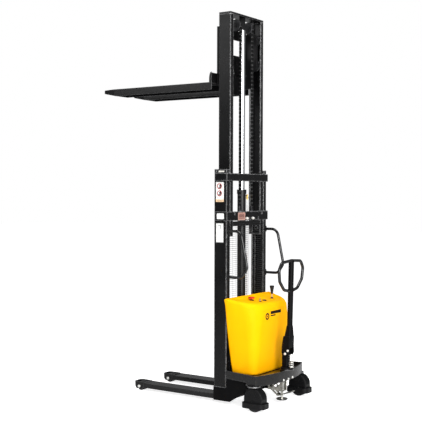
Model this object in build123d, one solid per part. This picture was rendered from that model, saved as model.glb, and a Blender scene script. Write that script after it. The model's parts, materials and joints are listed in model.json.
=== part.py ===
from build123d import *
import math
import os

# Walkie stacker: two-stage mast, support legs under the forks and a walk-behind tiller.
# Millimetres. +Z is up and the floor is z = 0. The forks point towards -Y, the operator
# stands at +Y, and +X is the machine's left. The mast is drawn fully raised.

os.makedirs("parts", exist_ok=True)

# ---------------------------------------------------------------- driving dimensions
MAST_Y = 318.0            # front face of the inner mast channels
STAGE_TRAVEL = 1215.0     # travel of each mast stage, which leaves the forks at 90 mm

# Outer mast: two channels that open inwards.
OUTER_X = 301.0           # outer face of the web
OUTER_TIP_X = 256.0       # flange tips
OUTER_Y0 = MAST_Y - 4
OUTER_Y1 = MAST_Y + 112
OUTER_TOP = 1812.0
FOOT_TOP = 136.0

# Inner mast: two channels that open inwards, inboard of the outer ones.
INNER_X = 249.0
INNER_TIP_X = 207.0
INNER_Y0 = MAST_Y
INNER_Y1 = MAST_Y + 110
INNER_BOTTOM = 1312.0
INNER_TOP = 3061.0
TOP_PLATE_T = 15.0

WEB_T = 8.0
FLANGE_T = 12.0

# Cross bars that wrap the outer mast.
BAR_X = 315.0
BAR_Y0 = MAST_Y + 16      # front ends of the bars' wings
BAR_Y1 = OUTER_Y1 + 14
UPPER_BAR_Z = (1745.0, 1805.0)
LOWER_BAR_Z = (1434.0, 1506.0)

# Lift cylinder, rod and chains.
CYL_Y = MAST_Y + 60
CYL_R = 34.0
CYL_BORE_R = 28.0
CYL_Z = (150.0, 1678.0)
ROD_R = 24.0
ROD_TOP = 2950.0
CHAIN_X = 89.0
PULLEY_Z = 2977.0
CHAIN_R = 39.3            # from the pulley axis to the middle of the chain
CHAIN_T = 13.0
CHAIN_W = 24.0
CHAIN_PITCH = 15.875
ANCHOR_Z = 1540.0         # foot of the rear chain strands
CARRIAGE_CHAIN_Z = 2650.0 # foot of the front chain strands

# Carriage and forks.
FORK_X = (120.0, 280.0)
FORK_TOP = 2520.0
FORK_DEPTH = 58.0
FORK_PLATE = 8.0
CARRIAGE_Y0 = MAST_Y - 48
FORK_TIP_Y = MAST_Y - 1181
FORK_TAPER_Y = MAST_Y - 1035

# Support legs and load rollers.
LEG_X = (136.0, 266.0)
LEG_Z = (31.0, 69.0)
LEG_TIP_Y = MAST_Y - 842
LEG_BOX_Y = MAST_Y - 731
LOAD_ROLLER_R = 37.0
LOAD_ROLLER_Y = MAST_Y - 782

# Deck, casters and tiller.
DECK_Z = (240.0, 250.0)
SKIRT_Z = (212.0, 272.0)
APRON_Z = 193.0
CORNER_X = 370.0
CORNER_Y = MAST_Y + 420
REAR_Y = MAST_Y + 495
CASTER_X = 346.0
CASTER_Y = MAST_Y + 392
CASTER_R = 70.0
CASTER_TRAIL = 14.0
SWIVEL_Y = MAST_Y + 482
TILT_Y = MAST_Y + 490
TILT_Z = 404.0
POLE_LEAN = 2.0           # degrees, towards the operator

LOCK_Y = MAST_Y + 439
LOCK_PIVOT_Y = MAST_Y + 340
LOCK_PIVOT_Z = 120.0


# ---------------------------------------------------------------- helpers
def block(x, y, z):
    """Box between two values on each axis."""
    size = [abs(v[1] - v[0]) for v in (x, y, z)]
    middle = [(v[0] + v[1]) / 2 for v in (x, y, z)]
    return Pos(*middle) * Box(*size)


def rod_z(x, y, z, r):
    return Pos(x, y, (z[0] + z[1]) / 2) * Cylinder(r, z[1] - z[0])


def rod_x(x, y, z, r):
    return Pos((x[0] + x[1]) / 2, y, z) * Rot(0, 90, 0) * Cylinder(r, x[1] - x[0])


def rod_y(x, y, z, r):
    return Pos(x, (y[0] + y[1]) / 2, z) * Rot(90, 0, 0) * Cylinder(r, y[1] - y[0])


def plan_prism(points, z):
    """Upright prism on a plan outline given as (x, y) points."""
    face = make_face(Polyline(*points, close=True))
    return Pos(0, 0, z[0]) * extrude(face, z[1] - z[0])


def side_prism(points, x):
    """Prism along X on a side outline given as (y, z) points."""
    face = make_face(Plane.YZ * Polyline(*points, close=True))
    return Pos(x[0], 0, 0) * extrude(face, x[1] - x[0], dir=(1, 0, 0))


def mirrored(shape):
    """The same shape on the machine's right-hand side."""
    return mirror(shape, about=Plane.YZ)


def both(shape):
    """Left and right copies as a group of separate solids."""
    return Compound(children=solids_of(shape) + solids_of(mirrored(shape)))


def solids_of(*shapes):
    found = []
    for shape in shapes:
        found.extend(shape.solids())
    return found


def group(*shapes):
    return Compound(children=solids_of(*shapes))


def tube_along(points, radius, r_out, r_in=0.0):
    """Round bar or tube along straight runs joined by arcs of one radius."""
    path = FilletPolyline(*points, radius=radius)
    section = Plane(origin=path @ 0, z_dir=path % 0) * Circle(r_out)
    if r_in:
        section -= Plane(origin=path @ 0, z_dir=path % 0) * Circle(r_in)
    return sweep(section, path=path)


def upright_edges(shape, x, y, tol=0.5):
    """Edges parallel to Z at one plan position."""
    return [
        e for e in shape.edges().filter_by(Axis.Z)
        if abs(e.center().X - x) < tol and abs(e.center().Y - y) < tol
    ]


def save(name, shape):
    export_step(shape, f"parts/{name}.step")
    print(name, len(shape.solids()), "solids", round(shape.volume / 1000), "cm3")


# ---------------------------------------------------------------- outer mast
def mast_channel(x_web, x_tip, y, z):
    """Left-hand rolled channel, web outwards, with rounded outer corners."""
    bar = block((x_tip, x_web), y, z)
    hollow_x = (x_tip - 1, x_web - WEB_T)
    hollow_y = (y[0] + FLANGE_T, y[1] - FLANGE_T)
    bar -= block(hollow_x, hollow_y, (z[0] - 1, z[1] + 1))
    corners = upright_edges(bar, x_web, y[0]) + upright_edges(bar, x_web, y[1])
    return fillet(corners, 7)


def mast_cap():
    """Guide bracket on top of a left-hand outer channel: two posts and a bridge plate."""
    posts = block((266, 300), (OUTER_Y0 + 2, OUTER_Y0 + 22), (OUTER_TOP, 1826))
    posts += block((266, 300), (OUTER_Y1 - 22, OUTER_Y1 - 2), (OUTER_TOP, 1826))
    bridge = block((258, 301), (OUTER_Y0, OUTER_Y1), (1826, 1836))
    bridge = fillet(bridge.edges().filter_by(Axis.Z), 6)
    return posts + bridge


outer_mast = mast_channel(OUTER_X, OUTER_TIP_X, (OUTER_Y0, OUTER_Y1), (FOOT_TOP, OUTER_TOP))
outer_mast += mast_cap()
save("outer_mast_left", outer_mast)
save("outer_mast_right", mirrored(outer_mast))

pad_x = (INNER_X + 0.6, OUTER_TIP_X)
front_pad = block(pad_x, (OUTER_Y0 + 1, OUTER_Y0 + 11), (1752, 1800))
rear_pad = block(pad_x, (OUTER_Y1 - 11, OUTER_Y1 - 1), (1752, 1800))
top_pad = block((262, 299), (MAST_Y + 32, MAST_Y + 84), (OUTER_TOP, 1824))
top_pad = fillet(top_pad.edges().filter_by(Axis.Z), 4)
save("mast_wear_pads", both(group(front_pad, rear_pad, top_pad)))


# ---------------------------------------------------------------- cross bars
def cross_bar(z):
    """Bent flat bar that wraps the sides and back of the outer mast."""
    bar = block((-BAR_X, BAR_X), (BAR_Y0, BAR_Y1), z)
    bar -= block((-OUTER_X, OUTER_X), (BAR_Y0 - 1, OUTER_Y1), (z[0] - 1, z[1] + 1))
    bends = upright_edges(bar, BAR_X, BAR_Y1) + upright_edges(bar, -BAR_X, BAR_Y1)
    return fillet(bends, 20)


save("upper_crossbar", cross_bar(UPPER_BAR_Z))

lower_bar = cross_bar(LOWER_BAR_Z)
clamp_z = (1440.0, 1500.0)
lower_bar += block((-22, 22), (CYL_Y + 38, OUTER_Y1 + 2), clamp_z)
lower_bar += rod_z(0, CYL_Y, clamp_z, 46)
lower_bar -= rod_z(0, CYL_Y, (clamp_z[0] - 1, clamp_z[1] + 1), CYL_R + 0.1)
for side in (-1, 1):
    shelf_x = (side * CHAIN_X - 19, side * CHAIN_X + 19)
    lower_bar += block(shelf_x, (MAST_Y + 84, OUTER_Y1 + 2), (1490, 1504))
    lower_bar -= rod_z(side * CHAIN_X, CYL_Y + CHAIN_R, (1480, 1510), 8.1)
for hole_x, hole_z in ((-150, 1452), (-205, 1488), (205, 1488)):
    lower_bar -= rod_y(hole_x, (OUTER_Y1 - 1, BAR_Y1 + 1), hole_z, 9)
save("lower_crossbar", lower_bar)


def chain_anchor(x, y, shelf_low, shelf_high, clevis_top):
    """Threaded stud through a shelf, a nut on each side and a clevis for the chain."""
    stud = rod_z(x, y, (shelf_low - 24, clevis_top - 28), 8)
    for z0 in (shelf_low - 13, shelf_high):
        nut = Pos(x, y, z0) * extrude(RegularPolygon(13, 6), 13)
        stud += nut
    clevis = block((x - 16, x + 16), (y - 8, y + 8), (clevis_top - 30, clevis_top + 10))
    clevis = fillet(clevis.edges().filter_by(Axis.Z), 3)
    clevis -= block((x - CHAIN_W / 2 - 0.2, x + CHAIN_W / 2 + 0.2), (y - 9, y + 9),
                    (clevis_top - 14, clevis_top + 11))
    pin = rod_x((x - 16, x + 16), y, clevis_top - 6, 3)
    return stud + clevis + pin


chain_rear_y = CYL_Y + CHAIN_R
chain_front_y = CYL_Y - CHAIN_R
save("chain_anchors", both(chain_anchor(CHAIN_X, chain_rear_y, 1490, 1504, ANCHOR_Z)))


def chain_strand(x, y, z):
    """Leaf chain run, waisted between the pins."""
    links = max(2, round((z[1] - z[0]) / CHAIN_PITCH))
    pitch = (z[1] - z[0]) / links
    front, back = [], []
    for i in range(links):
        low = z[0] + i * pitch
        for part, half in ((0.0, 0.36), (0.3, 0.5), (0.7, 0.5)):
            front.append((y - half * CHAIN_T, low + part * pitch))
            back.append((y + half * CHAIN_T, low + part * pitch))
    front.append((y - 0.36 * CHAIN_T, z[1]))
    back.append((y + 0.36 * CHAIN_T, z[1]))
    return side_prism(front + back[::-1], (x - CHAIN_W / 2, x + CHAIN_W / 2))


save("rear_chains", both(chain_strand(CHAIN_X, chain_rear_y, (ANCHOR_Z, PULLEY_Z))))
save("front_chains", both(chain_strand(CHAIN_X, chain_front_y, (CARRIAGE_CHAIN_Z, PULLEY_Z))))

wrap = rod_x((CHAIN_X - CHAIN_W / 2, CHAIN_X + CHAIN_W / 2), CYL_Y, PULLEY_Z, CHAIN_R + CHAIN_T / 2)
wrap -= rod_x((CHAIN_X - CHAIN_W, CHAIN_X + CHAIN_W), CYL_Y, PULLEY_Z, CHAIN_R - CHAIN_T / 2)
wrap -= block((CHAIN_X - 30, CHAIN_X + 30), (CYL_Y - 60, CYL_Y + 60), (PULLEY_Z - 60, PULLEY_Z))
save("chain_wraps", both(wrap))


# ---------------------------------------------------------------- lift cylinder
barrel = rod_z(0, CYL_Y, CYL_Z, CYL_R)
barrel += rod_z(0, CYL_Y, (CYL_Z[1] - 34, CYL_Z[1]), CYL_R + 4)
barrel += block((-62, 45), (CYL_Y - 35, CYL_Y + 35), (CYL_Z[0], CYL_Z[0] + 40))
barrel -= rod_z(0, CYL_Y, (CYL_Z[0] + 50, CYL_Z[1] - 30), CYL_BORE_R)
barrel -= rod_z(0, CYL_Y, (CYL_Z[1] - 31, CYL_Z[1] + 1), ROD_R + 0.4)
save("lift_cylinder", barrel)

piston_z = (1548.0, 1600.0)
lift_rod = rod_z(0, CYL_Y, (piston_z[0], ROD_TOP), ROD_R)
lift_rod += rod_z(0, CYL_Y, piston_z, CYL_BORE_R - 0.4)
save("lift_rod", lift_rod)

# Air-return line from the gland to the manifold at the foot of the cylinder.
LINE_X = -50.0
LINE_Y = CYL_Y + 22
line = rod_z(LINE_X, LINE_Y, (CYL_Z[0] + 40, 1604), 4.5)
line -= rod_z(LINE_X, LINE_Y, (CYL_Z[0] + 60, 1590), 3)
elbow = rod_z(LINE_X, LINE_Y, (1604, 1640), 7)
elbow += Pos(LINE_X, LINE_Y, 1606) * extrude(RegularPolygon(10, 6), 12)
reach = math.hypot(LINE_X, LINE_Y - CYL_Y)
angle = math.degrees(math.atan2(LINE_Y - CYL_Y, LINE_X))
stem = Pos(0, CYL_Y, 1628) * Rot(0, 0, angle) * rod_x((CYL_R + 0.1, reach), 0, 0, 6)
save("return_line", group(line, elbow + stem))

hose_points = [
    (46, CYL_Y, 166), (92, CYL_Y, 166), (92, MAST_Y + 165, 150), (92, MAST_Y + 165, 286),
]
save("pressure_hose", tube_along(hose_points, 30, 8, 5))


# ---------------------------------------------------------------- inner mast
INNER_ROLLER_Z = INNER_BOTTOM + 55
ROLLER_Y = MAST_Y + 54
INNER_ROLLER_R = 44.0
inner_channel = mast_channel(
    INNER_X, INNER_TIP_X, (INNER_Y0, INNER_Y1), (INNER_BOTTOM, INNER_TOP - TOP_PLATE_T)
)
inner_channel += rod_x((INNER_X - WEB_T - 6, 288), ROLLER_Y, INNER_ROLLER_Z, 15)
save("inner_channel_left", inner_channel)
save("inner_channel_right", mirrored(inner_channel))

inner_roller = rod_x((259, 287), ROLLER_Y, INNER_ROLLER_Z, INNER_ROLLER_R)
inner_roller = fillet(inner_roller.edges().filter_by(GeomType.CIRCLE), 3)
inner_roller -= rod_x((258, 289), ROLLER_Y, INNER_ROLLER_Z, 15.05)
save("inner_mast_rollers", both(inner_roller))

top_plate = block((-INNER_X, INNER_X), (INNER_Y0, INNER_Y1), (INNER_TOP - TOP_PLATE_T, INNER_TOP))
top_plate = fillet(top_plate.edges().filter_by(Axis.Z), 7)
lower_tie = block((-INNER_TIP_X - 4, INNER_TIP_X + 4), (MAST_Y + 98, INNER_Y1), (1390, 1428))
for side in (-1, 1):
    tie_end = (side * INNER_TIP_X, side * (INNER_TIP_X + 4))
    lower_tie -= block((min(tie_end), max(tie_end)), (MAST_Y + 97, MAST_Y + 111), (1389, 1429))
save("inner_mast_ties", group(top_plate, lower_tie))

bracket = block((-46, 46), (CYL_Y - 26, CYL_Y + 26), (ROD_TOP, 2996))
bracket = fillet(bracket.edges().filter_by(Axis.Z), 8)
bracket += block((-20, 20), (CYL_Y - 16, CYL_Y + 16), (2990, INNER_TOP - TOP_PLATE_T))
bracket += rod_x((-112, 112), CYL_Y, PULLEY_Z, 15)
for side in (-1, 1):
    retainer_x = sorted((side * 107, side * 112))
    bracket += rod_x(retainer_x, CYL_Y, PULLEY_Z, 20)
save("pulley_bracket", bracket)

pulley_x = (CHAIN_X - 17, CHAIN_X + 17)
PULLEY_R = 47.0
pulley = rod_x(pulley_x, CYL_Y, PULLEY_Z, PULLEY_R)
pulley = chamfer(pulley.edges().filter_by(GeomType.CIRCLE), 1.5)
groove = rod_x((CHAIN_X - 13, CHAIN_X + 13), CYL_Y, PULLEY_Z, PULLEY_R + 4)
groove -= rod_x((CHAIN_X - 14, CHAIN_X + 14), CYL_Y, PULLEY_Z, CHAIN_R - CHAIN_T / 2 - 0.5)
pulley -= groove
pulley -= rod_x((70, 108), CYL_Y, PULLEY_Z, 15.05)
save("chain_pulleys", both(pulley))


# ---------------------------------------------------------------- carriage and forks
CARRIAGE_ROLLER_R = 42.0
CARRIAGE_TOP = 2963.0
ROLLER_UP_Z = 2896.0
ROLLER_LOW_Z = 2690.0
bar_y = (CARRIAGE_Y0, CARRIAGE_Y0 + 18)
plate_y = (CARRIAGE_Y0 + 4, CARRIAGE_Y0 + 16)
fork_under = FORK_TOP - FORK_PLATE - 7

frame = block((-118, 118), plate_y, (2445, 2762))
frame += block((-152, 152), plate_y, (fork_under, 2762))
frame += block((-152, 152), plate_y, (2888, CARRIAGE_TOP))
for side in (-1, 1):
    upright = block(sorted((side * 150, side * 205)), bar_y, (fork_under, CARRIAGE_TOP))
    outer_edges = upright_edges(upright, side * 205, bar_y[0])
    upright = fillet(outer_edges, 5)
    side_plate = side_prism(
        [(bar_y[1] - 2, fork_under), (MAST_Y + 30, fork_under), (MAST_Y + 40, 2630), (MAST_Y + 86, 2672),
         (MAST_Y + 86, 2920), (MAST_Y + 60, 2950), (bar_y[1] - 2, 2950)],
        sorted((side * 186, side * 200)))
    frame += upright
    frame += side_plate
    for z in (ROLLER_LOW_Z, ROLLER_UP_Z):
        frame += rod_x(sorted((side * 196, side * 240)), ROLLER_Y + 1, z, 15)
    shelf = block(sorted((side * 70, side * 108)), (plate_y[1] - 2, MAST_Y + 36), (2596, 2608))
    frame += shelf
    frame -= rod_z(side * CHAIN_X, chain_front_y, (2590, 2615), 8.1)
for z in (2600.0, 2700.0):
    frame -= rod_y(-60, (CARRIAGE_Y0, CARRIAGE_Y0 + 20), z, 7)
    frame -= rod_y(60, (CARRIAGE_Y0, CARRIAGE_Y0 + 20), z, 7)
save("carriage_frame", frame)

save("carriage_chain_ends",
     both(chain_anchor(CHAIN_X, chain_front_y, 2596, 2608, CARRIAGE_CHAIN_Z)))


def carriage_rollers(z):
    roller = rod_x((211, 238), ROLLER_Y + 1, z, CARRIAGE_ROLLER_R)
    roller = fillet(roller.edges().filter_by(GeomType.CIRCLE), 3)
    roller -= rod_x((209, 241), ROLLER_Y + 1, z, 15.05)
    return both(roller)


save("carriage_rollers_upper", carriage_rollers(ROLLER_UP_Z))
save("carriage_rollers_lower", carriage_rollers(ROLLER_LOW_Z))


def ear_outline():
    """Side outline of a fork's heel ear: upright in front, rounded back to the heel plate."""
    front_y, back_y = CARRIAGE_Y0 - 22, CARRIAGE_Y0 - 2
    shoulder_z, top_z = 2546, 2600
    outline = [(back_y, FORK_TOP - 2), (front_y, FORK_TOP - 2)]
    for step in range(7):
        turn = math.radians(15 * step)
        y = back_y - (back_y - front_y) * math.cos(turn)
        outline.append((y, shoulder_z + (top_z - shoulder_z) * math.sin(turn)))
    return outline


def fork():
    """Left fork: inverted channel blade with a tapered tip, heel plate and two ears."""
    x0, x1 = FORK_X
    mid = (x0 + x1) / 2
    outline = [
        (x0, CARRIAGE_Y0), (x1, CARRIAGE_Y0), (x1, FORK_TAPER_Y),
        (mid + 44, FORK_TIP_Y + 14), (mid + 30, FORK_TIP_Y),
        (mid - 30, FORK_TIP_Y), (mid - 44, FORK_TIP_Y + 14), (x0, FORK_TAPER_Y),
    ]
    blade = plan_prism(outline, (FORK_TOP - FORK_DEPTH, FORK_TOP))
    wedge = side_prism(
        [(FORK_TAPER_Y + 20, FORK_TOP - FORK_DEPTH - 1), (FORK_TIP_Y - 1, FORK_TOP - FORK_DEPTH - 1),
         (FORK_TIP_Y - 1, FORK_TOP - 27), (FORK_TIP_Y, FORK_TOP - 27)],
        (x0 - 1, x1 + 1))
    blade -= wedge
    hollow_y = (FORK_TAPER_Y + 6, CARRIAGE_Y0 + 1)
    blade -= block((x0 + FORK_PLATE, x1 - FORK_PLATE), hollow_y,
                   (FORK_TOP - FORK_DEPTH - 1, FORK_TOP - FORK_PLATE))
    long_edges = [
        e for e in blade.edges().filter_by(Axis.Y)
        if abs(e.center().Z - FORK_TOP) < 0.5 and e.length > 500
    ]
    blade = fillet(long_edges, 4)
    heel = block((x0, x1), (CARRIAGE_Y0 - 12, CARRIAGE_Y0), (FORK_TOP - FORK_PLATE, 2594))
    blade += heel
    for gx in ((x0, x0 + 12), (x1 - 12, x1)):
        ear = side_prism(ear_outline(), gx)
        blade += ear
    return blade


left_fork = fork()
save("fork_left", left_fork)
save("fork_right", mirrored(left_fork))


# ---------------------------------------------------------------- feet, legs, load rollers
foot = block((OUTER_TIP_X, OUTER_X), (MAST_Y - 9, OUTER_Y1), (32, FOOT_TOP))
foot = fillet(upright_edges(foot, OUTER_X, MAST_Y - 9), 6)
foot -= block((OUTER_TIP_X + 8, OUTER_X - 8), (MAST_Y - 1, OUTER_Y1 - 8), (31, FOOT_TOP - 10))
roller_space = block((OUTER_TIP_X - 1, OUTER_X - WEB_T), (MAST_Y + 3, OUTER_Y1 - 7), (98, FOOT_TOP + 1))
foot -= roller_space
foot_gusset = side_prism(
    [(OUTER_Y1, 32), (MAST_Y + 144, 32), (MAST_Y + 214, 76), (MAST_Y + 283, 119),
     (MAST_Y + 340, 190), (MAST_Y + 340, DECK_Z[0]), (OUTER_Y1, DECK_Z[0])],
    (OUTER_X - 10, OUTER_X))
gusset_window = block((OUTER_X - 11, OUTER_X + 1), (MAST_Y + 286, MAST_Y + 331), (167, 194))
foot += foot_gusset - fillet(gusset_window.edges().filter_by(Axis.X), 5)
save("mast_foot_left", foot)
save("mast_foot_right", mirrored(foot))


def support_leg():
    """Left leg: inverted channel that runs under the mast, with a roller fork at its tip."""
    x0, x1 = LEG_X
    mid = (x0 + x1) / 2
    beam = block((x0, x1), (LEG_BOX_Y, MAST_Y - 9), LEG_Z)
    beam += block((x0, OUTER_TIP_X), (MAST_Y - 12, OUTER_Y1), LEG_Z)
    long_edges = [
        e for e in beam.edges().filter_by(Axis.Y)
        if abs(e.center().Z - LEG_Z[1]) < 0.5 and e.length > 500
    ]
    beam = fillet(long_edges, 5)
    beam -= block((x0 + 7, OUTER_TIP_X - 7), (LEG_BOX_Y + 10, OUTER_Y1 - 8),
                  (LEG_Z[0] - 1, LEG_Z[1] - 7))
    loop = block((mid - 52, mid + 52), (LEG_TIP_Y, LEG_BOX_Y + 6), (17, 75))
    loop_corners = upright_edges(loop, mid - 52, LEG_TIP_Y) + upright_edges(loop, mid + 52, LEG_TIP_Y)
    loop = fillet(loop_corners, 30)
    slot = block((mid - 43, mid + 43), (LEG_TIP_Y + 9, LEG_BOX_Y - 4), (16, 76))
    slot_corners = (upright_edges(slot, mid - 43, LEG_TIP_Y + 9)
                    + upright_edges(slot, mid + 43, LEG_TIP_Y + 9))
    loop -= fillet(slot_corners, 21)
    nose_cut = side_prism(
        [(LEG_TIP_Y - 1, 16), (LEG_TIP_Y + 34, 16), (LEG_TIP_Y - 1, 44)], (x0 - 1, x1 + 1))
    tail_cut = side_prism(
        [(LEG_BOX_Y - 30, 16), (LEG_BOX_Y + 7, 16), (LEG_BOX_Y + 7, 36)], (x0 - 1, x1 + 1))
    loop -= nose_cut
    loop -= tail_cut
    leg = beam + loop
    leg -= rod_x((mid - 60, mid + 60), LOAD_ROLLER_Y, LOAD_ROLLER_R, 10.05)
    return leg


left_leg = support_leg()
cross_tube = block((0, LEG_X[0]), (MAST_Y + 72, OUTER_Y1), LEG_Z)
save("support_leg_left", left_leg + cross_tube)
save("support_leg_right", mirrored(left_leg + cross_tube))

leg_mid = sum(LEG_X) / 2
roller_half = 33.0
load_roller = rod_x((leg_mid - roller_half, leg_mid + roller_half),
                    LOAD_ROLLER_Y, LOAD_ROLLER_R, LOAD_ROLLER_R)
load_roller = fillet(load_roller.edges().filter_by(GeomType.CIRCLE), 5)
load_roller -= rod_x((leg_mid - 40, leg_mid + 40), LOAD_ROLLER_Y, LOAD_ROLLER_R, 10.1)
save("load_roller_left", load_roller)
save("load_roller_right", mirrored(load_roller))

leg_axle = rod_x((leg_mid - 56, leg_mid + 56), LOAD_ROLLER_Y, LOAD_ROLLER_R, 10)
axle_head = rod_x((leg_mid + 52, leg_mid + 59), LOAD_ROLLER_Y, LOAD_ROLLER_R, 15)
axle_nut = rod_x((leg_mid - 59, leg_mid - 52), LOAD_ROLLER_Y, LOAD_ROLLER_R, 15)
leg_axle = leg_axle + axle_head + axle_nut


# ---------------------------------------------------------------- deck and skirt
def deck_outline(inset):
    """Plan outline of the deck: splayed sides and an arched rear edge."""
    side = CORNER_X - inset
    front_x = OUTER_X - inset
    corner_y = CORNER_Y - inset * 0.6
    left = Line((front_x, OUTER_Y1), (side, corner_y))
    rear = ThreePointArc((side, corner_y), (0, REAR_Y - inset), (-side, corner_y))
    right = Line((-side, corner_y), (-front_x, OUTER_Y1))
    front = Line((-front_x, OUTER_Y1), (front_x, OUTER_Y1))
    return make_face(left + rear + right + front)


skirt = Pos(0, 0, SKIRT_Z[0]) * extrude(deck_outline(0), SKIRT_Z[1] - SKIRT_Z[0])
rear_corners = upright_edges(skirt, CORNER_X, CORNER_Y, 2) + upright_edges(skirt, -CORNER_X, CORNER_Y, 2)
skirt = fillet(rear_corners, 16)
skirt -= Pos(0, 0, SKIRT_Z[0] - 1) * extrude(deck_outline(7), SKIRT_Z[1] - SKIRT_Z[0] + 2)
band = Pos(0, 0, APRON_Z) * extrude(deck_outline(0), SKIRT_Z[0] - APRON_Z)
band = fillet(upright_edges(band, CORNER_X, CORNER_Y, 2) + upright_edges(band, -CORNER_X, CORNER_Y, 2), 16)
band -= Pos(0, 0, APRON_Z - 1) * extrude(deck_outline(7), SKIRT_Z[0] - APRON_Z + 2)
skirt += band & block((-400, 400), (MAST_Y + 330, REAR_Y + 10), (APRON_Z, SKIRT_Z[0]))
for side in (-1, 1):
    skirt -= rod_z(side * CASTER_X, CASTER_Y, (APRON_Z - 1, 196.5), 48.6)
skirt -= foot
skirt -= mirrored(foot)
save("deck_skirt", skirt)

deck = Pos(0, 0, DECK_Z[0]) * extrude(deck_outline(7.0), DECK_Z[1] - DECK_Z[0])
deck -= rod_z(92, MAST_Y + 165, (DECK_Z[0] - 1, DECK_Z[1] + 1), 14)
for side in (-1, 1):
    deck += block(sorted((side * 306, side * 346)), (CASTER_Y - 34, CASTER_Y + 8), (196, DECK_Z[0]))
    deck += rod_z(side * CASTER_X, CASTER_Y, (186, 196), 48)
cross_plate = block((-OUTER_X + 10, OUTER_X - 10), (OUTER_Y1 + 6, OUTER_Y1 + 14), (126, DECK_Z[0]))
cross_plate -= block((74, 110), (OUTER_Y1, OUTER_Y1 + 20), (130, 180))
arm = block((-44, 44), (CYL_Y - 34, OUTER_Y1 + 7), (118, 150))
platform = rod_z(0, SWIVEL_Y, (DECK_Z[0], 282), 55)
stem_cut = block((-70, 70), (REAR_Y - 10, REAR_Y + 80), (DECK_Z[0] - 1, SKIRT_Z[1] + 1))
platform -= stem_cut
deck += cross_plate + arm + platform
save("deck_plate", deck)


# ---------------------------------------------------------------- casters
def caster_housing():
    """Left caster: fork, ribbed fender and foot guard that turn together about the kingpin."""
    y = CASTER_Y + CASTER_TRAIL
    arch_z = 101.0
    arch_r = 79.0
    fender = rod_x((CASTER_X - 42, CASTER_X + 42), y, arch_z, arch_r)
    fender += block((CASTER_X - 42, CASTER_X + 42), (y - arch_r, y + arch_r), (66, arch_z))
    rims = fender.edges().filter_by(GeomType.CIRCLE)
    fender = fillet(rims, 6)
    for rib in (-24, -8, 8, 24):
        rib_x = (CASTER_X + rib - 2, CASTER_X + rib + 2)
        fender += rod_x(rib_x, y, arch_z, arch_r + 2.5) & block(rib_x, (y - 90, y + 90), (arch_z, 200))
    fender -= rod_x((CASTER_X - 36, CASTER_X + 36), y, arch_z, arch_r - 4)
    fender -= block((CASTER_X - 36, CASTER_X + 36), (y - arch_r + 4, y + arch_r - 4), (60, arch_z))
    fender &= block((CASTER_X - 60, CASTER_X + 60), (y - 110, y + 110), (60, 182))
    ring_face = RectangleRounded(124, 196, 40) - RectangleRounded(112, 184, 34)
    guard = Pos(CASTER_X, y, 32) * extrude(ring_face, 40)
    lid_face = RectangleRounded(124, 196, 40) - Rectangle(73, 152)
    lid = Pos(CASTER_X, y, 66) * extrude(lid_face, 6)
    leg_y = (CASTER_Y - 22, CASTER_Y + 36)
    legs = block((CASTER_X - 36, CASTER_X - 29), leg_y, (60, 172))
    legs += block((CASTER_X + 29, CASTER_X + 36), leg_y, (60, 172))
    crown = block((CASTER_X - 36, CASTER_X + 36), leg_y, (156, 172))
    kingpin = rod_z(CASTER_X, CASTER_Y, (156, 185), 26)
    axle = rod_x((CASTER_X - 36, CASTER_X + 36), y, CASTER_R, 8)
    return fender + guard + lid + legs + crown + kingpin + axle


def caster_wheel():
    y_wheel = CASTER_Y + CASTER_TRAIL
    wheel = rod_x((CASTER_X - 24, CASTER_X + 24), y_wheel, CASTER_R, CASTER_R)
    wheel = fillet(wheel.edges().filter_by(GeomType.CIRCLE), 7)
    for x in (CASTER_X - 24, CASTER_X + 24):
        recess = rod_x((x - 8, x + 8), y_wheel, CASTER_R, 46)
        recess -= rod_x((x - 9, x + 9), y_wheel, CASTER_R, 20)
        wheel -= recess
    return wheel - rod_x((CASTER_X - 30, CASTER_X + 30), y_wheel, CASTER_R, 8.08)


left_housing = caster_housing()
left_wheel = caster_wheel()
save("caster_housing_left", left_housing)
save("caster_housing_right", mirrored(left_housing))
save("caster_wheel_left", left_wheel)
save("caster_wheel_right", mirrored(left_wheel))


# ---------------------------------------------------------------- mesh and grab handles
MESH_Z = (700.0, 1412.0)
MESH_HALF = 262.0
WIRE = 4.0
mesh_face = Plane.XZ * Pos(0, sum(MESH_Z) / 2) * Rectangle(2 * MESH_HALF, MESH_Z[1] - MESH_Z[0])
columns = 11
rows = 44
cell_w = (2 * MESH_HALF - WIRE) / columns
cell_h = (MESH_Z[1] - MESH_Z[0] - WIRE) / rows
windows = Plane.XZ * Pos(0, sum(MESH_Z) / 2) * GridLocations(cell_w, cell_h, columns, rows)
mesh_face -= [spot * Rectangle(cell_w - WIRE, cell_h - WIRE) for spot in windows]
mesh = Pos(0, OUTER_Y1 + WIRE, 0) * extrude(mesh_face, WIRE)
save("safety_mesh", mesh)

back_plate = block((-MESH_HALF, MESH_HALF), (OUTER_Y1, OUTER_Y1 + WIRE), (DECK_Z[1], MESH_Z[0] - 4))
for flange_x in (-120, 120):
    back_plate -= rod_y(flange_x, (OUTER_Y1 - 1, OUTER_Y1 + WIRE + 1), 660, 12)
save("mast_back_plate", back_plate)

HANDLE_R = 11.0
HANDLE_X = 280.0
handle_ends_z = (1356, 998)
handle_points = [
    (HANDLE_X, OUTER_Y1 + 2, handle_ends_z[0]), (HANDLE_X, MAST_Y + 228, handle_ends_z[0]),
    (HANDLE_X, MAST_Y + 288, 1072), (HANDLE_X, MAST_Y + 238, handle_ends_z[1]),
    (HANDLE_X, OUTER_Y1 + 2, handle_ends_z[1]),
]
handle = tube_along(handle_points, (62, 50, 50), HANDLE_R, 8)
for z in handle_ends_z:
    foot_plate = block((262, 300), (OUTER_Y1, OUTER_Y1 + 5), (z - 24, z + 24))
    handle += fillet(foot_plate.edges().filter_by(Axis.Y), 6)
handle -= block((200, 301), (OUTER_Y1 - 20, OUTER_Y1), (900, 1500))
save("grab_handles", group(handle, mirrored(handle)))


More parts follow.
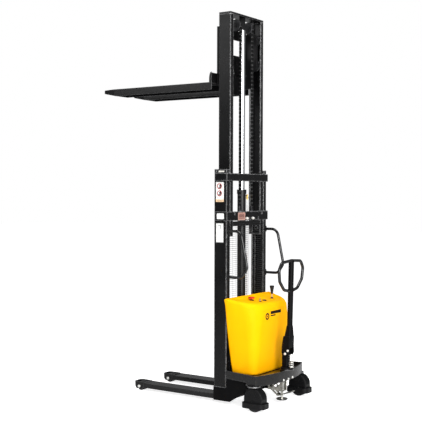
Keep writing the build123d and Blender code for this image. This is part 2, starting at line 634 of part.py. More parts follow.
# ---------------------------------------------------------------- body cover
# (height, half width at the mast, half width at the back, mast-side y, back y, back radius)
COVER_SECTIONS = [
    (254, 262, 260, 146, 348, 58),
    (340, 270, 265, 136, 354, 70),
    (475, 283, 272, 124, 363, 84),
    (640, 304, 278, 118, 371, 98),
    (760, 322, 282, 118, 371, 130),
    (860, 344, 290, 118, 362, 170),
]
COVER_TOP_FRONT = 836.0   # height of the top edge at the mast
COVER_TOP_REAR = 797.0    # height of the top edge at the operator's end
COVER_RIM_R = 14.0        # rounding of the top edge


def cover_section(row, inset, front_shift=0.0):
    z, wide, narrow, y0, y1, radius = row
    y0 = MAST_Y + y0 + front_shift
    y1 = MAST_Y + y1 - inset
    corners = [(wide - inset, y0), (narrow - inset, y1), (inset - narrow, y1), (inset - wide, y0)]
    outline = Polyline(*corners, close=True)
    face = make_face(outline)
    rear_corners = face.vertices().filter_by(lambda v: v.Y > y1 - 1)
    return Pos(0, 0, z) * fillet(rear_corners, radius - inset)


def cover_loft(inset, front_shift=0.0):
    return loft([cover_section(row, inset, front_shift) for row in COVER_SECTIONS])


def under_top(drop):
    """Half space below the sloping top face, lowered by a distance."""
    y0, y1 = MAST_Y + 90, MAST_Y + 380
    slope = (COVER_TOP_REAR - COVER_TOP_FRONT) / (340 - 118)
    z0 = COVER_TOP_FRONT + slope * (90 - 118) - drop
    z1 = COVER_TOP_FRONT + slope * (380 - 118) - drop
    return side_prism([(y0, 100), (y1, 100), (y1, z1), (y0, z0)], (-400, 400))


WALL = 4.0
TOP_T = 18.0
POCKET = 12.0
cover = cover_loft(0) & under_top(0)
rim_edges = [
    edge for edge in cover.edges()
    if edge.center().Z > COVER_TOP_REAR - 20 and edge.center().Y > MAST_Y + 130
]
cover = fillet(rim_edges, COVER_RIM_R)
cover -= cover_loft(WALL, -40) & under_top(TOP_T)
pocket = (cover_loft(26, 24) & under_top(-40)) - under_top(POCKET)
cover -= pocket

LEVER_X = -132.0
LEVER_Y = MAST_Y + 268
LEVER_Z = 772.0
ESTOP = (93.0, MAST_Y + 212)
KEY = (50.0, MAST_Y + 266)
GAUGE = (-20.0, MAST_Y + 262)
cover -= rod_z(LEVER_X, LEVER_Y, (760, 860), 19)
cover -= rod_z(ESTOP[0], ESTOP[1], (760, 860), 9)
cover -= rod_z(KEY[0], KEY[1], (760, 860), 9)
save("body_cover", cover)


def panel_height(y):
    """Height of the recessed panel face at a depth behind the mast."""
    slope = (COVER_TOP_REAR - COVER_TOP_FRONT) / (340 - 118)
    return COVER_TOP_FRONT + slope * (y - MAST_Y - 118) - POCKET


estop_z = panel_height(ESTOP[1])
key_z = panel_height(KEY[1])
lever_z = panel_height(LEVER_Y)
gauge_z = panel_height(GAUGE[1])

estop_collar = rod_z(*ESTOP, (estop_z - 3, estop_z + 5), 21) - rod_z(*ESTOP, (700, 900), 8.5)
estop_sleeve = rod_z(*ESTOP, (estop_z - 22, estop_z + 5), 9) - rod_z(*ESTOP, (700, 900), 7.4)
key_barrel = rod_z(*KEY, (key_z - 3, key_z + 6), 12) + rod_z(*KEY, (key_z - 26, key_z), 8.9)
key_barrel -= rod_z(*KEY, (key_z - 12, key_z + 20), 4.5)
gauge_bezel = rod_z(*GAUGE, (gauge_z - 3, gauge_z + 5), 22)
gauge_bezel -= rod_z(*GAUGE, (gauge_z + 2, gauge_z + 6), 18)
lever_ring = rod_z(LEVER_X, LEVER_Y, (lever_z - 3, lever_z + 6), 24)
lever_ring -= rod_z(LEVER_X, LEVER_Y, (700, 900), 16)
ear_drop = lever_z - 2
lever_clevis = block((LEVER_X - 20, LEVER_X - 9), (LEVER_Y - 16, LEVER_Y + 16), (LEVER_Z - 14, ear_drop))
lever_clevis += block((LEVER_X + 9, LEVER_X + 20), (LEVER_Y - 16, LEVER_Y + 16), (LEVER_Z - 14, ear_drop))
lever_clevis += block((LEVER_X - 20, LEVER_X + 20), (LEVER_Y - 16, LEVER_Y + 16),
                      (LEVER_Z - 24, LEVER_Z - 13))
fittings = group(estop_collar + estop_sleeve, key_barrel, gauge_bezel, lever_ring + lever_clevis)
fittings = group(*[solid - cover for solid in fittings.solids()])
save("panel_fittings", fittings)

estop = rod_z(*ESTOP, (estop_z + 13, estop_z + 26), 27)
estop = fillet(estop.edges().filter_by(GeomType.CIRCLE), 5)
estop += rod_z(*ESTOP, (estop_z - 18, estop_z + 16), 7)
save("estop_button", estop)

key = rod_z(*KEY, (key_z - 9, key_z + 8), 4)
key += block((KEY[0] - 1.5, KEY[0] + 1.5), (KEY[1] - 9, KEY[1] + 9), (key_z + 7, key_z + 26))
save("key", key)

lever = rod_z(LEVER_X, LEVER_Y, (LEVER_Z, 850), 5)
lever += rod_x((LEVER_X - 8.6, LEVER_X + 8.6), LEVER_Y, LEVER_Z, 8)
knob_sections = [(838, 9), (846, 11), (880, 15), (900, 19), (908, 17)]
knob = loft([Pos(LEVER_X, LEVER_Y, z) * Circle(r) for z, r in knob_sections])
save("lift_lever", lever + knob)


# ---------------------------------------------------------------- parts under the cover
battery = block((-216, -16), (MAST_Y + 156, MAST_Y + 316), (DECK_Z[1], 440))
battery = fillet(battery.edges().filter_by(Axis.Z), 8)
for post_x in (-190, -42):
    battery += rod_z(post_x, MAST_Y + 300, (438, 456), 8)
save("battery", battery)

charger = block((-196, -36), (MAST_Y + 162, MAST_Y + 280), (440, 500))
for fin in range(9):
    fin_x = -190 + fin * 17
    charger += block((fin_x, fin_x + 5), (MAST_Y + 166, MAST_Y + 276), (499, 514))
save("charger", charger)

tank = block((128, 218), (MAST_Y + 156, MAST_Y + 296), (DECK_Z[1], 520))
tank = fillet(tank.edges().filter_by(Axis.Z), 14)
tank += rod_z(173, MAST_Y + 200, (518, 540), 18)
save("oil_tank", tank)

unit = rod_z(62, MAST_Y + 240, (DECK_Z[1] + 44, 480), 52)
unit += block((14, 112), (MAST_Y + 196, MAST_Y + 290), (DECK_Z[1], DECK_Z[1] + 46))
unit += block((74, 110), (MAST_Y + 150, MAST_Y + 200), (286, 336))
unit -= block((74, 110), (MAST_Y + 149, MAST_Y + 186), (240, 286))
save("hydraulic_unit", unit)


# ---------------------------------------------------------------- floor lock
PLUNGER_R = 10.0
lock_frame = block((-34, 34), (MAST_Y + 326, MAST_Y + 462), (104, DECK_Z[0]))
lock_frame -= block((-28, 28), (MAST_Y + 320, MAST_Y + 470), (110, 234))
lock_frame -= block((-40, 40), (MAST_Y + 320, MAST_Y + 404), (90, 110))
lock_frame -= block((-40, 40), (MAST_Y + 320, LOCK_PIVOT_Y - 8), (90, 234))
lock_frame -= block((-40, 40), (LOCK_PIVOT_Y + 8, MAST_Y + 374), (90, 234))
lock_frame -= side_prism([(MAST_Y + 380, 90), (MAST_Y + 470, 90), (MAST_Y + 470, 104)], (-40, 40))
lock_frame -= rod_z(0, LOCK_Y, (90, 112), PLUNGER_R + 0.4)
lock_frame -= side_prism(
    [(MAST_Y + 380, 140), (MAST_Y + 420, 130), (MAST_Y + 440, 170), (MAST_Y + 420, 205),
     (MAST_Y + 380, 205)], (-40, 40))
lock_frame += rod_x((-34, 34), LOCK_PIVOT_Y, LOCK_PIVOT_Z, 6)
save("floor_lock_bracket", lock_frame)

pedal = side_prism(
    [(LOCK_PIVOT_Y - 9, 111), (LOCK_PIVOT_Y + 5, 111), (MAST_Y + 409, 64), (MAST_Y + 420, 64),
     (MAST_Y + 538, 106), (MAST_Y + 538, 113), (MAST_Y + 418, 71), (LOCK_PIVOT_Y + 9, 129),
     (LOCK_PIVOT_Y - 9, 129)], (-25, 25))
pedal -= block((-17, 17), (LOCK_PIVOT_Y - 20, MAST_Y + 404), (60, 140))
pedal -= block((-12, 12), (MAST_Y + 418, MAST_Y + 472), (50, 110))
pedal -= rod_x((-26, 26), LOCK_PIVOT_Y, LOCK_PIVOT_Z, 6.05)
for rib in range(5):
    rib_y = MAST_Y + 482 + 11 * rib
    rib_z = 71 + (rib_y - MAST_Y - 418) * 0.35
    pedal += block((-23, 23), (rib_y - 2, rib_y + 2), (rib_z - 2, rib_z + 2.5))
save("lock_pedal", pedal)

pad = rod_z(0, LOCK_Y, (35, 46), 44)
pad = fillet(pad.edges().filter_by(GeomType.CIRCLE), 4)
pad += rod_z(0, LOCK_Y, (44, 174), PLUNGER_R)
pad += rod_z(0, LOCK_Y, (168, 174), 20)
save("lock_pad", pad)

coil_path = Helix(pitch=8.4, height=50.4, radius=17)
coil_path = Pos(0, LOCK_Y, 113.5) * coil_path
coil = sweep(Plane(origin=coil_path @ 0, z_dir=coil_path % 0) * Circle(2), path=coil_path)
save("lock_spring", coil)


# ---------------------------------------------------------------- tiller
turret = rod_z(0, SWIVEL_Y, (283, 295), 50)
turret = chamfer(turret.edges().filter_by(GeomType.CIRCLE), 2)
housing = block((-30, 30), (MAST_Y + 453, MAST_Y + 497), (294, 426))
housing = fillet(housing.edges().filter_by(Axis.Z), 6)
housing_cut = side_prism(
    [(MAST_Y + 450, 412), (MAST_Y + 500, 432), (MAST_Y + 450, 432)], (-40, 40))
turret += housing - housing_cut
turret += rod_x((-44, 44), TILT_Y, TILT_Z, 8.95)
save("tiller_turret", turret)

SPRING_Y = MAST_Y + 521
tiller_coil_path = Pos(0, SPRING_Y, 297.5) * Helix(pitch=13.2, height=92.4, radius=17)
tiller_coil = sweep(
    Plane(origin=tiller_coil_path @ 0, z_dir=tiller_coil_path % 0) * Circle(2.5),
    path=tiller_coil_path)
spring_cap = rod_z(0, SPRING_Y, (389, 399), 12)
save("tiller_spring", tiller_coil + spring_cap)

lean = math.tan(math.radians(POLE_LEAN))


def pole_y(z):
    return MAST_Y + 505 + lean * (z - 532) * 0.62


fork_cheek = side_prism(
    [(TILT_Y - 20, 382), (TILT_Y + 18, 382), (TILT_Y + 34, 410), (TILT_Y + 32, 470),
     (pole_y(620) + 20, 620), (pole_y(620) - 20, 620), (TILT_Y - 32, 470), (TILT_Y - 34, 410)],
    (31, 39))
cheeks = fork_cheek + mirrored(fork_cheek)
cheeks -= rod_x((-45, 45), TILT_Y, TILT_Z, 9)
shroud_rows = [
    (448, 39, 31, TILT_Y), (520, 36, 28, MAST_Y + 499), (620, 22.5, 21.5, pole_y(620)),
]
shroud = loft([Pos(0, y, z) * RectangleRounded(2 * hx, 2 * hy, 14) for z, hx, hy, y in shroud_rows])
outer_limit = block((-39, 39), (MAST_Y + 440, MAST_Y + 560), (300, 700))
side_trim = plan_prism([(22, MAST_Y + 400), (60, MAST_Y + 400), (60, MAST_Y + 600), (22, MAST_Y + 600)],
                       (540, 700))
cheeks -= side_trim
cheeks -= mirrored(side_trim)
pole_low = (0, pole_y(610), 610)
pole_high = (0, pole_y(1128), 1128)
pole_line = Line(pole_low, pole_high)
pole = sweep(Plane(origin=pole_line @ 0, z_dir=pole_line % 0) * Circle(21.5), path=pole_line)
pole -= sweep(Plane(origin=pole_line @ 0, z_dir=pole_line % 0) * Circle(18), path=pole_line)
tiller_pole = (cheeks & outer_limit) + shroud + pole

LOOP_R = 12.0
loop_points = [
    (0, 893), (105, 906), (176, 975), (190, 1062), (150, 1118), (0, 1128),
]


def loop_point(x, z):
    return (x, pole_y(z), z)


right_half = [loop_point(x, z) for x, z in loop_points[1:-1]]
left_half = [loop_point(-x, z) for x, z in loop_points[1:-1]]
ring_points = [loop_point(0, 1128)] + right_half[::-1] + [loop_point(30, 893)]
half_loop = tube_along(ring_points, 42, LOOP_R)
loop_solid = half_loop + mirrored(half_loop)
pole_tunnel = sweep(Plane(origin=pole_line @ 0, z_dir=pole_line % 0) * Circle(21.55), path=pole_line)
save("tiller_loop", loop_solid - pole_tunnel)
save("tiller_pole", tiller_pole)

bolt_heads = []
for by, bz in ((TILT_Y, TILT_Z), (MAST_Y + 512, 430)):
    if (by, bz) == (TILT_Y, TILT_Z):
        bolt = rod_x((44.3, 50), by, bz, 9)
    else:
        bolt = rod_x((39, 45), by, bz, 8)
    bolt_heads.append(bolt)
save("tiller_bolts", both(group(*bolt_heads)))


# ---------------------------------------------------------------- bolts and labels
sag = REAR_Y - CORNER_Y
arc_radius = (CORNER_X ** 2 + sag ** 2) / (2 * sag)
deck_bolts = []
for bolt_x in (-70, 0, 70):
    rear_edge = REAR_Y - arc_radius + math.sqrt(arc_radius ** 2 - bolt_x ** 2)
    deck_bolts.append(rod_y(bolt_x, (rear_edge + 0.6, rear_edge + 8), 204, 7))
clamp_x, clamp_bolt_z = 44.5, 1450
clamp_bolt = rod_y(clamp_x, (BAR_Y1, MAST_Y + 152), clamp_bolt_z, 5)
clamp_nut = Plane(origin=(clamp_x, MAST_Y + 136, clamp_bolt_z), z_dir=(0, 1, 0)) * RegularPolygon(11, 6)
clamp_bolt += extrude(clamp_nut, 11, dir=(0, 1, 0))
save("bright_bolts", group(both(leg_axle), both(clamp_bolt), *deck_bolts))

label_t = 0.6
mast_label_rows = [
    (OUTER_X, (12, 86), (1581, 1736)), (OUTER_X, (13, 85), (1264, 1417)),
    (BAR_X, (31, 96), (1448, 1492)),
]
labels = [
    block((x, x + label_t), (MAST_Y + y[0], MAST_Y + y[1]), z) for x, y, z in mast_label_rows
]
labels.append(block((52, 156), (BAR_Y1, BAR_Y1 + label_t), (1437, 1497)))
save("labels", group(*labels))
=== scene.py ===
import json
import math
import bmesh
import bpy
from mathutils import Matrix, Vector


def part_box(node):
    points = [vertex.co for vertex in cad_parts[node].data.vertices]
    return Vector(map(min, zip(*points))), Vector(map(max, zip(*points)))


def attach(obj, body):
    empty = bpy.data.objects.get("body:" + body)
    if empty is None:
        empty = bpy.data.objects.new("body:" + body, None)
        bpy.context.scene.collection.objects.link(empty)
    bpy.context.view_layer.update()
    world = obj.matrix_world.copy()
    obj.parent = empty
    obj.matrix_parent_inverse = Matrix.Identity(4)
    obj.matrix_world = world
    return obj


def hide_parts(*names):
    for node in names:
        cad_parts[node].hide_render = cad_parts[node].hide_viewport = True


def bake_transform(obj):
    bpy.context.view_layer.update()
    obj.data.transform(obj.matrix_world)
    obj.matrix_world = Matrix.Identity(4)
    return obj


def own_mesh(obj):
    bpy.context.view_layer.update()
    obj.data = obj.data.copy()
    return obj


# Walkie stacker. Metres, in the CAD model's frame: +Z up, forks towards -Y, +X the machine's left.
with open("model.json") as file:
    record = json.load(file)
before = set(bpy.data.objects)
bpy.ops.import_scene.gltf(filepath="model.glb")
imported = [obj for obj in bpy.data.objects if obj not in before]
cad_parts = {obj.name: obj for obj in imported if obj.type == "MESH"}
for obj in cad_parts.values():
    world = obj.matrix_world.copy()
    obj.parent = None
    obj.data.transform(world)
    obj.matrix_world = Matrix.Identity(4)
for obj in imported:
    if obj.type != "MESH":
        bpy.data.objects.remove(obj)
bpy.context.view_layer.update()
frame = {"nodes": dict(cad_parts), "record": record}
NODES = frame["nodes"]
MAST_Y = 0.318
UP = (0, 0, 1)


def new_object(name, data):
    made = bpy.data.objects.new(name, data)
    bpy.context.scene.collection.objects.link(made)
    return made


def middle(node):
    low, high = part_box(node)
    return (low + high) / 2


# ---- node materials
class Look:
    """One procedural material: a Principled shader fed by object-space noise."""

    def __init__(self, name):
        self.material = bpy.data.materials.new(name)
        self.material.use_nodes = True
        self.tree = self.material.node_tree
        self.shader = self.tree.nodes["Principled BSDF"]
        coords = self.tree.nodes.new("ShaderNodeTexCoord")
        self.place = coords.outputs["Object"]

    def node(self, kind, inputs=(), **values):
        """New node with its settings; inputs gives sockets a number, a vector or another socket."""
        made = self.tree.nodes.new("ShaderNode" + kind)
        for key, value in values.items():
            setattr(made, key, value)
        for key, value in dict(inputs).items():
            if isinstance(value, bpy.types.NodeSocket):
                self.link(value, made.inputs[key])
            elif value is not None:
                made.inputs[key].default_value = value
        return made

    def link(self, source, target):
        self.tree.links.new(source, target)

    def set(self, **values):
        for key, value in values.items():
            self.shader.inputs[key.replace("_", " ")].default_value = value

    def noise(self, scale, detail=3.0, rough=0.55, stretch=None, seed=0.0):
        """Grey noise around 0.5, optionally stretched along an axis."""
        source = self.place
        if stretch or seed:
            source = self.node("Mapping", {"Vector": self.place, "Scale": stretch or (1, 1, 1),
                                           "Location": (seed, seed * 0.7, seed * 1.3)}).outputs["Vector"]
        return self.node("TexNoise", {"Scale": scale, "Detail": detail, "Roughness": rough,
                                      "Vector": source}).outputs["Fac"]

    def ramp(self, value, low, high, start=0.0, end=1.0):
        """Value mapped from one interval to another, clamped."""
        return self.node("MapRange", {"From Min": low, "From Max": high, "To Min": start, "To Max": end,
                                      "Value": value}).outputs["Result"]

    def math(self, operation, a, b=None):
        return self.node("Math", {0: a, 1: b}, operation=operation).outputs["Value"]

    def mix(self, factor, a, b):
        """Colour mix; a and b are colours or sockets."""
        a, b = ((*c[:3], 1.0) if isinstance(c, tuple) else c for c in (a, b))
        return self.node("Mix", {0: factor, 6: a, 7: b}, data_type="RGBA").outputs[2]

    def bump(self, height, distance, strength=1.0, under=None):
        return self.node("Bump", {"Distance": distance, "Strength": strength, "Height": height,
                                  "Normal": under}).outputs["Normal"]

    def edges(self, radius, low=0.02, high=0.25):
        """Mask that is 1 on sharp convex and concave edges, and the rounded normal."""
        rounded = self.node("Bevel", {"Radius": radius}, samples=4).outputs["Normal"]
        flat = self.node("NewGeometry").outputs["Normal"]
        dot = self.node("VectorMath", {0: rounded, 1: flat}, operation="DOT_PRODUCT")
        return self.ramp(dot.outputs["Value"], 1 - low, 1 - high, 0.0, 1.0), rounded

    def axes(self):
        return self.node("SeparateXYZ", {"Vector": self.place}).outputs

    def between(self, value, low, high):
        """Mask that is 1 where a value lies between two limits."""
        above, below = self.math("GREATER_THAN", value, low), self.math("LESS_THAN", value, high)
        return self.math("MULTIPLY", above, below)

    def patch(self, u, v, across, up):
        """Rectangle mask on two coordinates."""
        return self.math("MULTIPLY", self.between(u, *across), self.between(v, *up))

    def ring(self, u, v, centre, inner, outer):
        """Ring mask on two coordinates."""
        du, dv = self.math("SUBTRACT", u, centre[0]), self.math("SUBTRACT", v, centre[1])
        squares = self.math("ADD", self.math("MULTIPLY", du, du), self.math("MULTIPLY", dv, dv))
        return self.between(squares, inner * abs(inner), outer * outer)

    def paint(self, mask, socket, value):
        """Replaces what feeds a shader socket with a value, where the mask is 1."""
        target = self.shader.inputs[socket]
        under = target.links[0].from_socket if target.links else target.default_value
        if socket == "Base Color":
            self.link(self.mix(mask, under, value), target)
            return
        blend = self.node("Mix", {0: mask, 2: under, 3: value}, data_type="FLOAT")
        self.link(blend.outputs[0], target)

    def tint(self, mask, colour):
        self.paint(mask, "Base Color", colour)


def painted(name, dark, light, rough=(0.34, 0.5), grain=0.00006, edge=0.0016, sheen_abrasion_and_dust_colour=(0.09, 0.09, 0.095),
            dust=0.25, specular=0.22, edge_span=0.25):
    """Powder-coated or painted steel: orange peel, thin dust, and edges painted lighter as a painted
    highlight that is partly abrasion.
    """
    look = Look(name)
    broad = look.noise(5.5, 4.0, 0.6)
    fine = look.noise(950.0, 2.0, 0.5)
    base = look.mix(look.ramp(broad, 0.35, 0.68), dark, light)
    # Lighter colour painted along the edges and broken up by noise: a painted highlight, partly abrasion.
    edge_sheen_and_abrasion_mask, rounded = look.edges(edge, high=edge_span)
    sheen_and_abrasion_breakup = look.ramp(look.noise(60.0, 4.0, 0.7, seed=3.0), 0.42, 0.62, 0.25, 1.0)
    edge_sheen_and_abrasion = look.math("MULTIPLY", edge_sheen_and_abrasion_mask, sheen_and_abrasion_breakup)
    base = look.mix(look.math("MULTIPLY", edge_sheen_and_abrasion, 0.55), base, sheen_abrasion_and_dust_colour)
    specks = look.ramp(look.noise(230.0, 3.0, 0.7, seed=9.0), 0.66, 0.72)
    base = look.mix(look.math("MULTIPLY", specks, dust), base, sheen_abrasion_and_dust_colour)
    look.link(base, look.shader.inputs["Base Color"])
    look.link(look.ramp(broad, 0.3, 0.7, *rough), look.shader.inputs["Roughness"])
    look.link(look.bump(fine, grain, 0.8, rounded), look.shader.inputs["Normal"])
    look.set(Specular_IOR_Level=specular)
    return look


def bare_metal(name, dark, light, rough=(0.2, 0.4), stretch=(1, 1, 18), metal=1.0, line=0.00003, grime=0.0,
               grime_colour=(0.03, 0.028, 0.025)):
    """Machined or plated metal with directional grain and optional grime."""
    look = Look(name)
    streak = look.noise(160.0, 4.0, 0.65, stretch=stretch)
    cloud = look.noise(28.0, 4.0, 0.6, seed=5.0)
    base = look.mix(look.ramp(cloud, 0.3, 0.7), dark, light)
    if grime:
        spots = look.ramp(look.noise(45.0, 5.0, 0.75, seed=2.0), 0.5, 0.7, 0.0, grime)
        base = look.mix(spots, base, grime_colour)
    look.link(base, look.shader.inputs["Base Color"])
    look.link(look.ramp(streak, 0.3, 0.7, *rough), look.shader.inputs["Roughness"])
    look.set(Metallic=metal)
    look.link(look.bump(streak, line, 0.6), look.shader.inputs["Normal"])
    return look


def moulded(name, dark, light, rough=(0.35, 0.5), grain=0.00008, scale=1400.0, coat=0.0, specular=0.3):
    """Moulded plastic or rubber with a fine spark texture."""
    look = Look(name)
    cloud = look.noise(9.0, 3.0, 0.55)
    look.link(look.mix(look.ramp(cloud, 0.3, 0.7), dark, light), look.shader.inputs["Base Color"])
    look.link(look.ramp(cloud, 0.3, 0.7, *rough), look.shader.inputs["Roughness"])
    look.link(look.bump(look.noise(scale, 2.0, 0.5), grain, 0.7), look.shader.inputs["Normal"])
    look.set(Specular_IOR_Level=specular)
    if coat:
        look.set(Coat_Weight=coat, Coat_Roughness=0.12)
    return look


def cover_plastic(name):
    return moulded(name, (0.93, 0.42, 0.002), (0.95, 0.44, 0.002), (0.4, 0.48), specular=0.015)


def grey(level, blue=None):
    """Neutral colour, a touch cooler or warmer where blue is given."""
    return (level, level, blue or level)


EVEN = (3, 3, 3)
# Every painted() look paints its edges lighter as a painted highlight; mast_steel and blade_satin do so most
# strongly.
LOOKS = {
    "black_steel": painted("powder_black", grey(0.003, 0.0033), grey(0.006, 0.0064)),
    # Light grey painted along the channel and crossbar edges: a painted highlight.
    "mast_steel": painted("powder_mast", grey(0.0018, 0.002), grey(0.0034, 0.0037), (0.24, 0.34), edge=0.012,
                          sheen_abrasion_and_dust_colour=grey(0.62, 0.63), dust=0.01, specular=0.2, edge_span=0.12),
    "tube_gloss": painted("powder_tube", grey(0.002, 0.0022), grey(0.004, 0.0043), (0.18, 0.26), dust=0.05,
                          specular=0.4),
    "pole_satin": painted("powder_pole", grey(0.002, 0.0022), grey(0.0038, 0.0041), (0.42, 0.52), dust=0.1,
                          specular=0.05),
    # Lighter grey painted along fork, leg and skirt edges: a painted highlight.
    "blade_satin": painted("powder_blade", grey(0.002, 0.0022), grey(0.004, 0.0043), (0.22, 0.32),
                           edge=0.007, sheen_abrasion_and_dust_colour=grey(0.22, 0.225), dust=0.02, specular=0.28,
                           edge_span=0.12),
    "race_steel": bare_metal("race_steel", grey(0.16, 0.165), grey(0.28, 0.285), (0.35, 0.5), EVEN,
                             grime=0.5),
    "lock_zinc": bare_metal("lock_zinc", (0.3, 0.29, 0.26), (0.55, 0.54, 0.49), (0.22, 0.38), EVEN,
                            grime=0.6),
    "deck_gloss": painted("powder_deck", grey(0.0035, 0.0038), grey(0.0065, 0.007), (0.06, 0.14),
                          specular=1.0),
    "chain_steel": bare_metal("chain_oiled", grey(0.04), grey(0.1), (0.32, 0.48), grime=0.7,
                              grime_colour=grey(0.012)),
    "machined_steel": bare_metal("roller_steel", grey(0.035, 0.037), grey(0.075, 0.078), (0.45, 0.6),
                                 (18, 1, 1), grime=0.8, grime_colour=grey(0.01)),
    "zinc_steel": bare_metal("zinc_plate", (0.74, 0.74, 0.71), (0.88, 0.87, 0.83), (0.3, 0.45), EVEN,
                             metal=0.55),
    "chrome_rod": bare_metal("hard_chrome", (0.86, 0.87, 0.89), (0.93, 0.94, 0.95), (0.06, 0.1)),
    "hose_rubber": moulded("hose_skin", grey(0.012), grey(0.02), (0.5, 0.62)),
    "black_plastic": moulded("black_nylon", grey(0.0035, 0.0038), grey(0.0065, 0.0069), (0.34, 0.44),
                             specular=0.12),
    "polyurethane": moulded("tyre_pu", grey(0.009, 0.0095), grey(0.014, 0.0145), (0.32, 0.42)),
    "yellow_cover": cover_plastic("cover_yellow"),
    "red_plastic": moulded("button_red", (0.55, 0.012, 0.008), (0.66, 0.02, 0.012), (0.22, 0.3), coat=0.4),
    "key_steel": bare_metal("key_plate", grey(0.5), grey(0.65), (0.25, 0.4)),
    "battery_case": moulded("battery_case", grey(0.03, 0.035), grey(0.05, 0.055)),
    "charger_alloy": bare_metal("charger_fins", grey(0.4, 0.42), grey(0.52, 0.54), (0.35, 0.5)),
    "tank_plastic": moulded("tank_poly", (0.62, 0.61, 0.55), (0.7, 0.69, 0.63)),
    "unit_steel": painted("unit_black", grey(0.03, 0.034), grey(0.045, 0.05)),
    "label_film": moulded("label_film", (0.84, 0.83, 0.8), (0.88, 0.87, 0.84), (0.25, 0.32)),
}


# ---- printed and two-tone looks
KNOB_HEIGHT = 0.066
FILLED = -0.001  # inner radius that leaves no hole in a ring mask
GAUGE_FROM_KEY = Vector((-0.07, -0.004, 0))
CHAIN_PITCH = 0.015875


def printed_cover():
    """Cover plastic with a generic ring and two plain bars on its back."""
    look = cover_plastic("cover_printed")
    x, y, z = look.axes()
    rear = look.math("GREATER_THAN", y, MAST_Y + 0.3)
    centre = (0.117, 0.694)
    mark = look.ring(x, z, centre, 0.0145, 0.0275)
    mark = look.math("MAXIMUM", mark, look.ring(x, z, centre, FILLED, 0.0075))
    for across, up in (((-0.092, 0.07), (0.706, 0.73)), ((-0.006, 0.07), (0.69, 0.7))):
        mark = look.math("MAXIMUM", mark, look.patch(x, z, across, up))
    look.tint(look.math("MULTIPLY", mark, rear), (0.01, 0.009, 0.008))
    return look


def film(name, base=(0.84, 0.84, 0.82)):
    look = moulded(name, tuple(0.97 * c for c in base), base, (0.24, 0.32), 0.00002)
    x, y, z = look.axes()
    return look, x, y, z


def warning_film():
    """Two red rings with dark centres, neutral bars and a tan foot."""
    look, x, y, z = film("label_warning", (0.8, 0.78, 0.76))
    centre = MAST_Y + 0.049
    look.tint(look.patch(y, z, (MAST_Y, MAST_Y + 0.1), (1.581, 1.601)), (0.72, 0.5, 0.3))
    for up in (1.612, 1.588, 1.594):
        bar = look.patch(y, z, (MAST_Y + 0.02, MAST_Y + 0.078), (up, up + 0.002))
        look.tint(bar, (0.2, 0.16, 0.14))
    for up in (1.703, 1.648):
        look.tint(look.ring(y, z, (centre - 0.004, up), 0.0155, 0.023), (0.34, 0.05, 0.05))
        look.tint(look.ring(y, z, (centre + 0.004, up + 0.004), FILLED, 0.0095), (0.05, 0.03, 0.03))
        foot = look.patch(y, z, (centre - 0.014, centre + 0.012), (up - 0.013, up - 0.006))
        look.tint(foot, (0.07, 0.04, 0.04))
    return look


def rating_film():
    look, x, y, z = film("label_rating")
    start = MAST_Y + 0.038
    for up, reach in ((1.48, 0.046), (1.47, 0.052), (1.461, 0.038)):
        look.tint(look.patch(y, z, (start, start + reach), (up, up + 0.0016)), grey(0.42))
    return look


def chart_film():
    look, x, y, z = film("label_chart")
    inside = look.patch(y, z, (MAST_Y + 0.0165, MAST_Y + 0.0815), (1.2685, 1.4135))
    look.tint(look.math("SUBTRACT", 1.0, inside), grey(0.16))
    for across, up in (((0.036, 0.064), (1.394, 1.399)), ((0.053, 0.058), (1.372, 1.394)),
                       ((0.027, 0.06), (1.356, 1.3575)), ((0.027, 0.07), (1.34, 1.3415)),
                       ((0.027, 0.066), (1.324, 1.3255)), ((0.027, 0.0285), (1.285, 1.357))):
        look.tint(look.patch(y, z, (MAST_Y + across[0], MAST_Y + across[1]), up), grey(0.22))
    return look


def bar_film():
    look, x, y, z = film("label_bar", (0.42, 0.26, 0.22))
    look.tint(look.patch(x, z, (0.058, 0.15), (1.443, 1.491)), (0.3, 0.15, 0.12))
    for middle_x in (0.08, 0.104, 0.128):
        look.tint(look.ring(x, z, (middle_x, 1.472), 0.0045, 0.0105), (0.045, 0.02, 0.02))
    for up in (1.449, 1.455):
        look.tint(look.patch(x, z, (0.066, 0.142), (up, up + 0.002)), (0.08, 0.04, 0.04))
    return look


def stop_head():
    """Red head, darker in its dished middle."""
    look = moulded("stop_head", (0.5, 0.01, 0.008), (0.62, 0.016, 0.012), (0.36, 0.44), specular=0.15)
    low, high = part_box("estop_button")
    x, y, z = look.axes()
    dished = look.ring(x, y, ((low.x + high.x) / 2, (low.y + high.y) / 2), FILLED, 0.015)
    on_top = look.math("GREATER_THAN", z, high.z - 0.004)
    look.tint(look.math("MULTIPLY", dished, on_top), (0.16, 0.004, 0.003))
    return look


def gauge_look():
    """Dark dial with four coloured blocks in a row."""
    look = moulded("gauge_face", grey(0.008, 0.009), grey(0.014, 0.015), (0.2, 0.3))
    x, y, z = look.axes()
    centre = middle("key") + GAUGE_FROM_KEY
    green = (0.08, 0.4, 0.08)
    for step, colour in enumerate(((0.5, 0.03, 0.02), (0.55, 0.35, 0.03), green, green)):
        start = centre.x - 0.0095 + step * 0.005
        look.tint(look.patch(x, y, (start, start + 0.0036), (centre.y - 0.003, centre.y + 0.004)), colour)
    return look


def lever_look():
    """Black knob on a bare rod."""
    look = moulded("lever_two_tone", grey(0.006, 0.0065), grey(0.01, 0.0105), (0.3, 0.4))
    x, y, z = look.axes()
    rod = look.math("LESS_THAN", z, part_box("lift_lever")[1].z - KNOB_HEIGHT)
    look.tint(rod, (0.62, 0.46, 0.3))
    look.paint(rod, "Metallic", 0.6)
    look.paint(rod, "Roughness", 0.5)
    return look


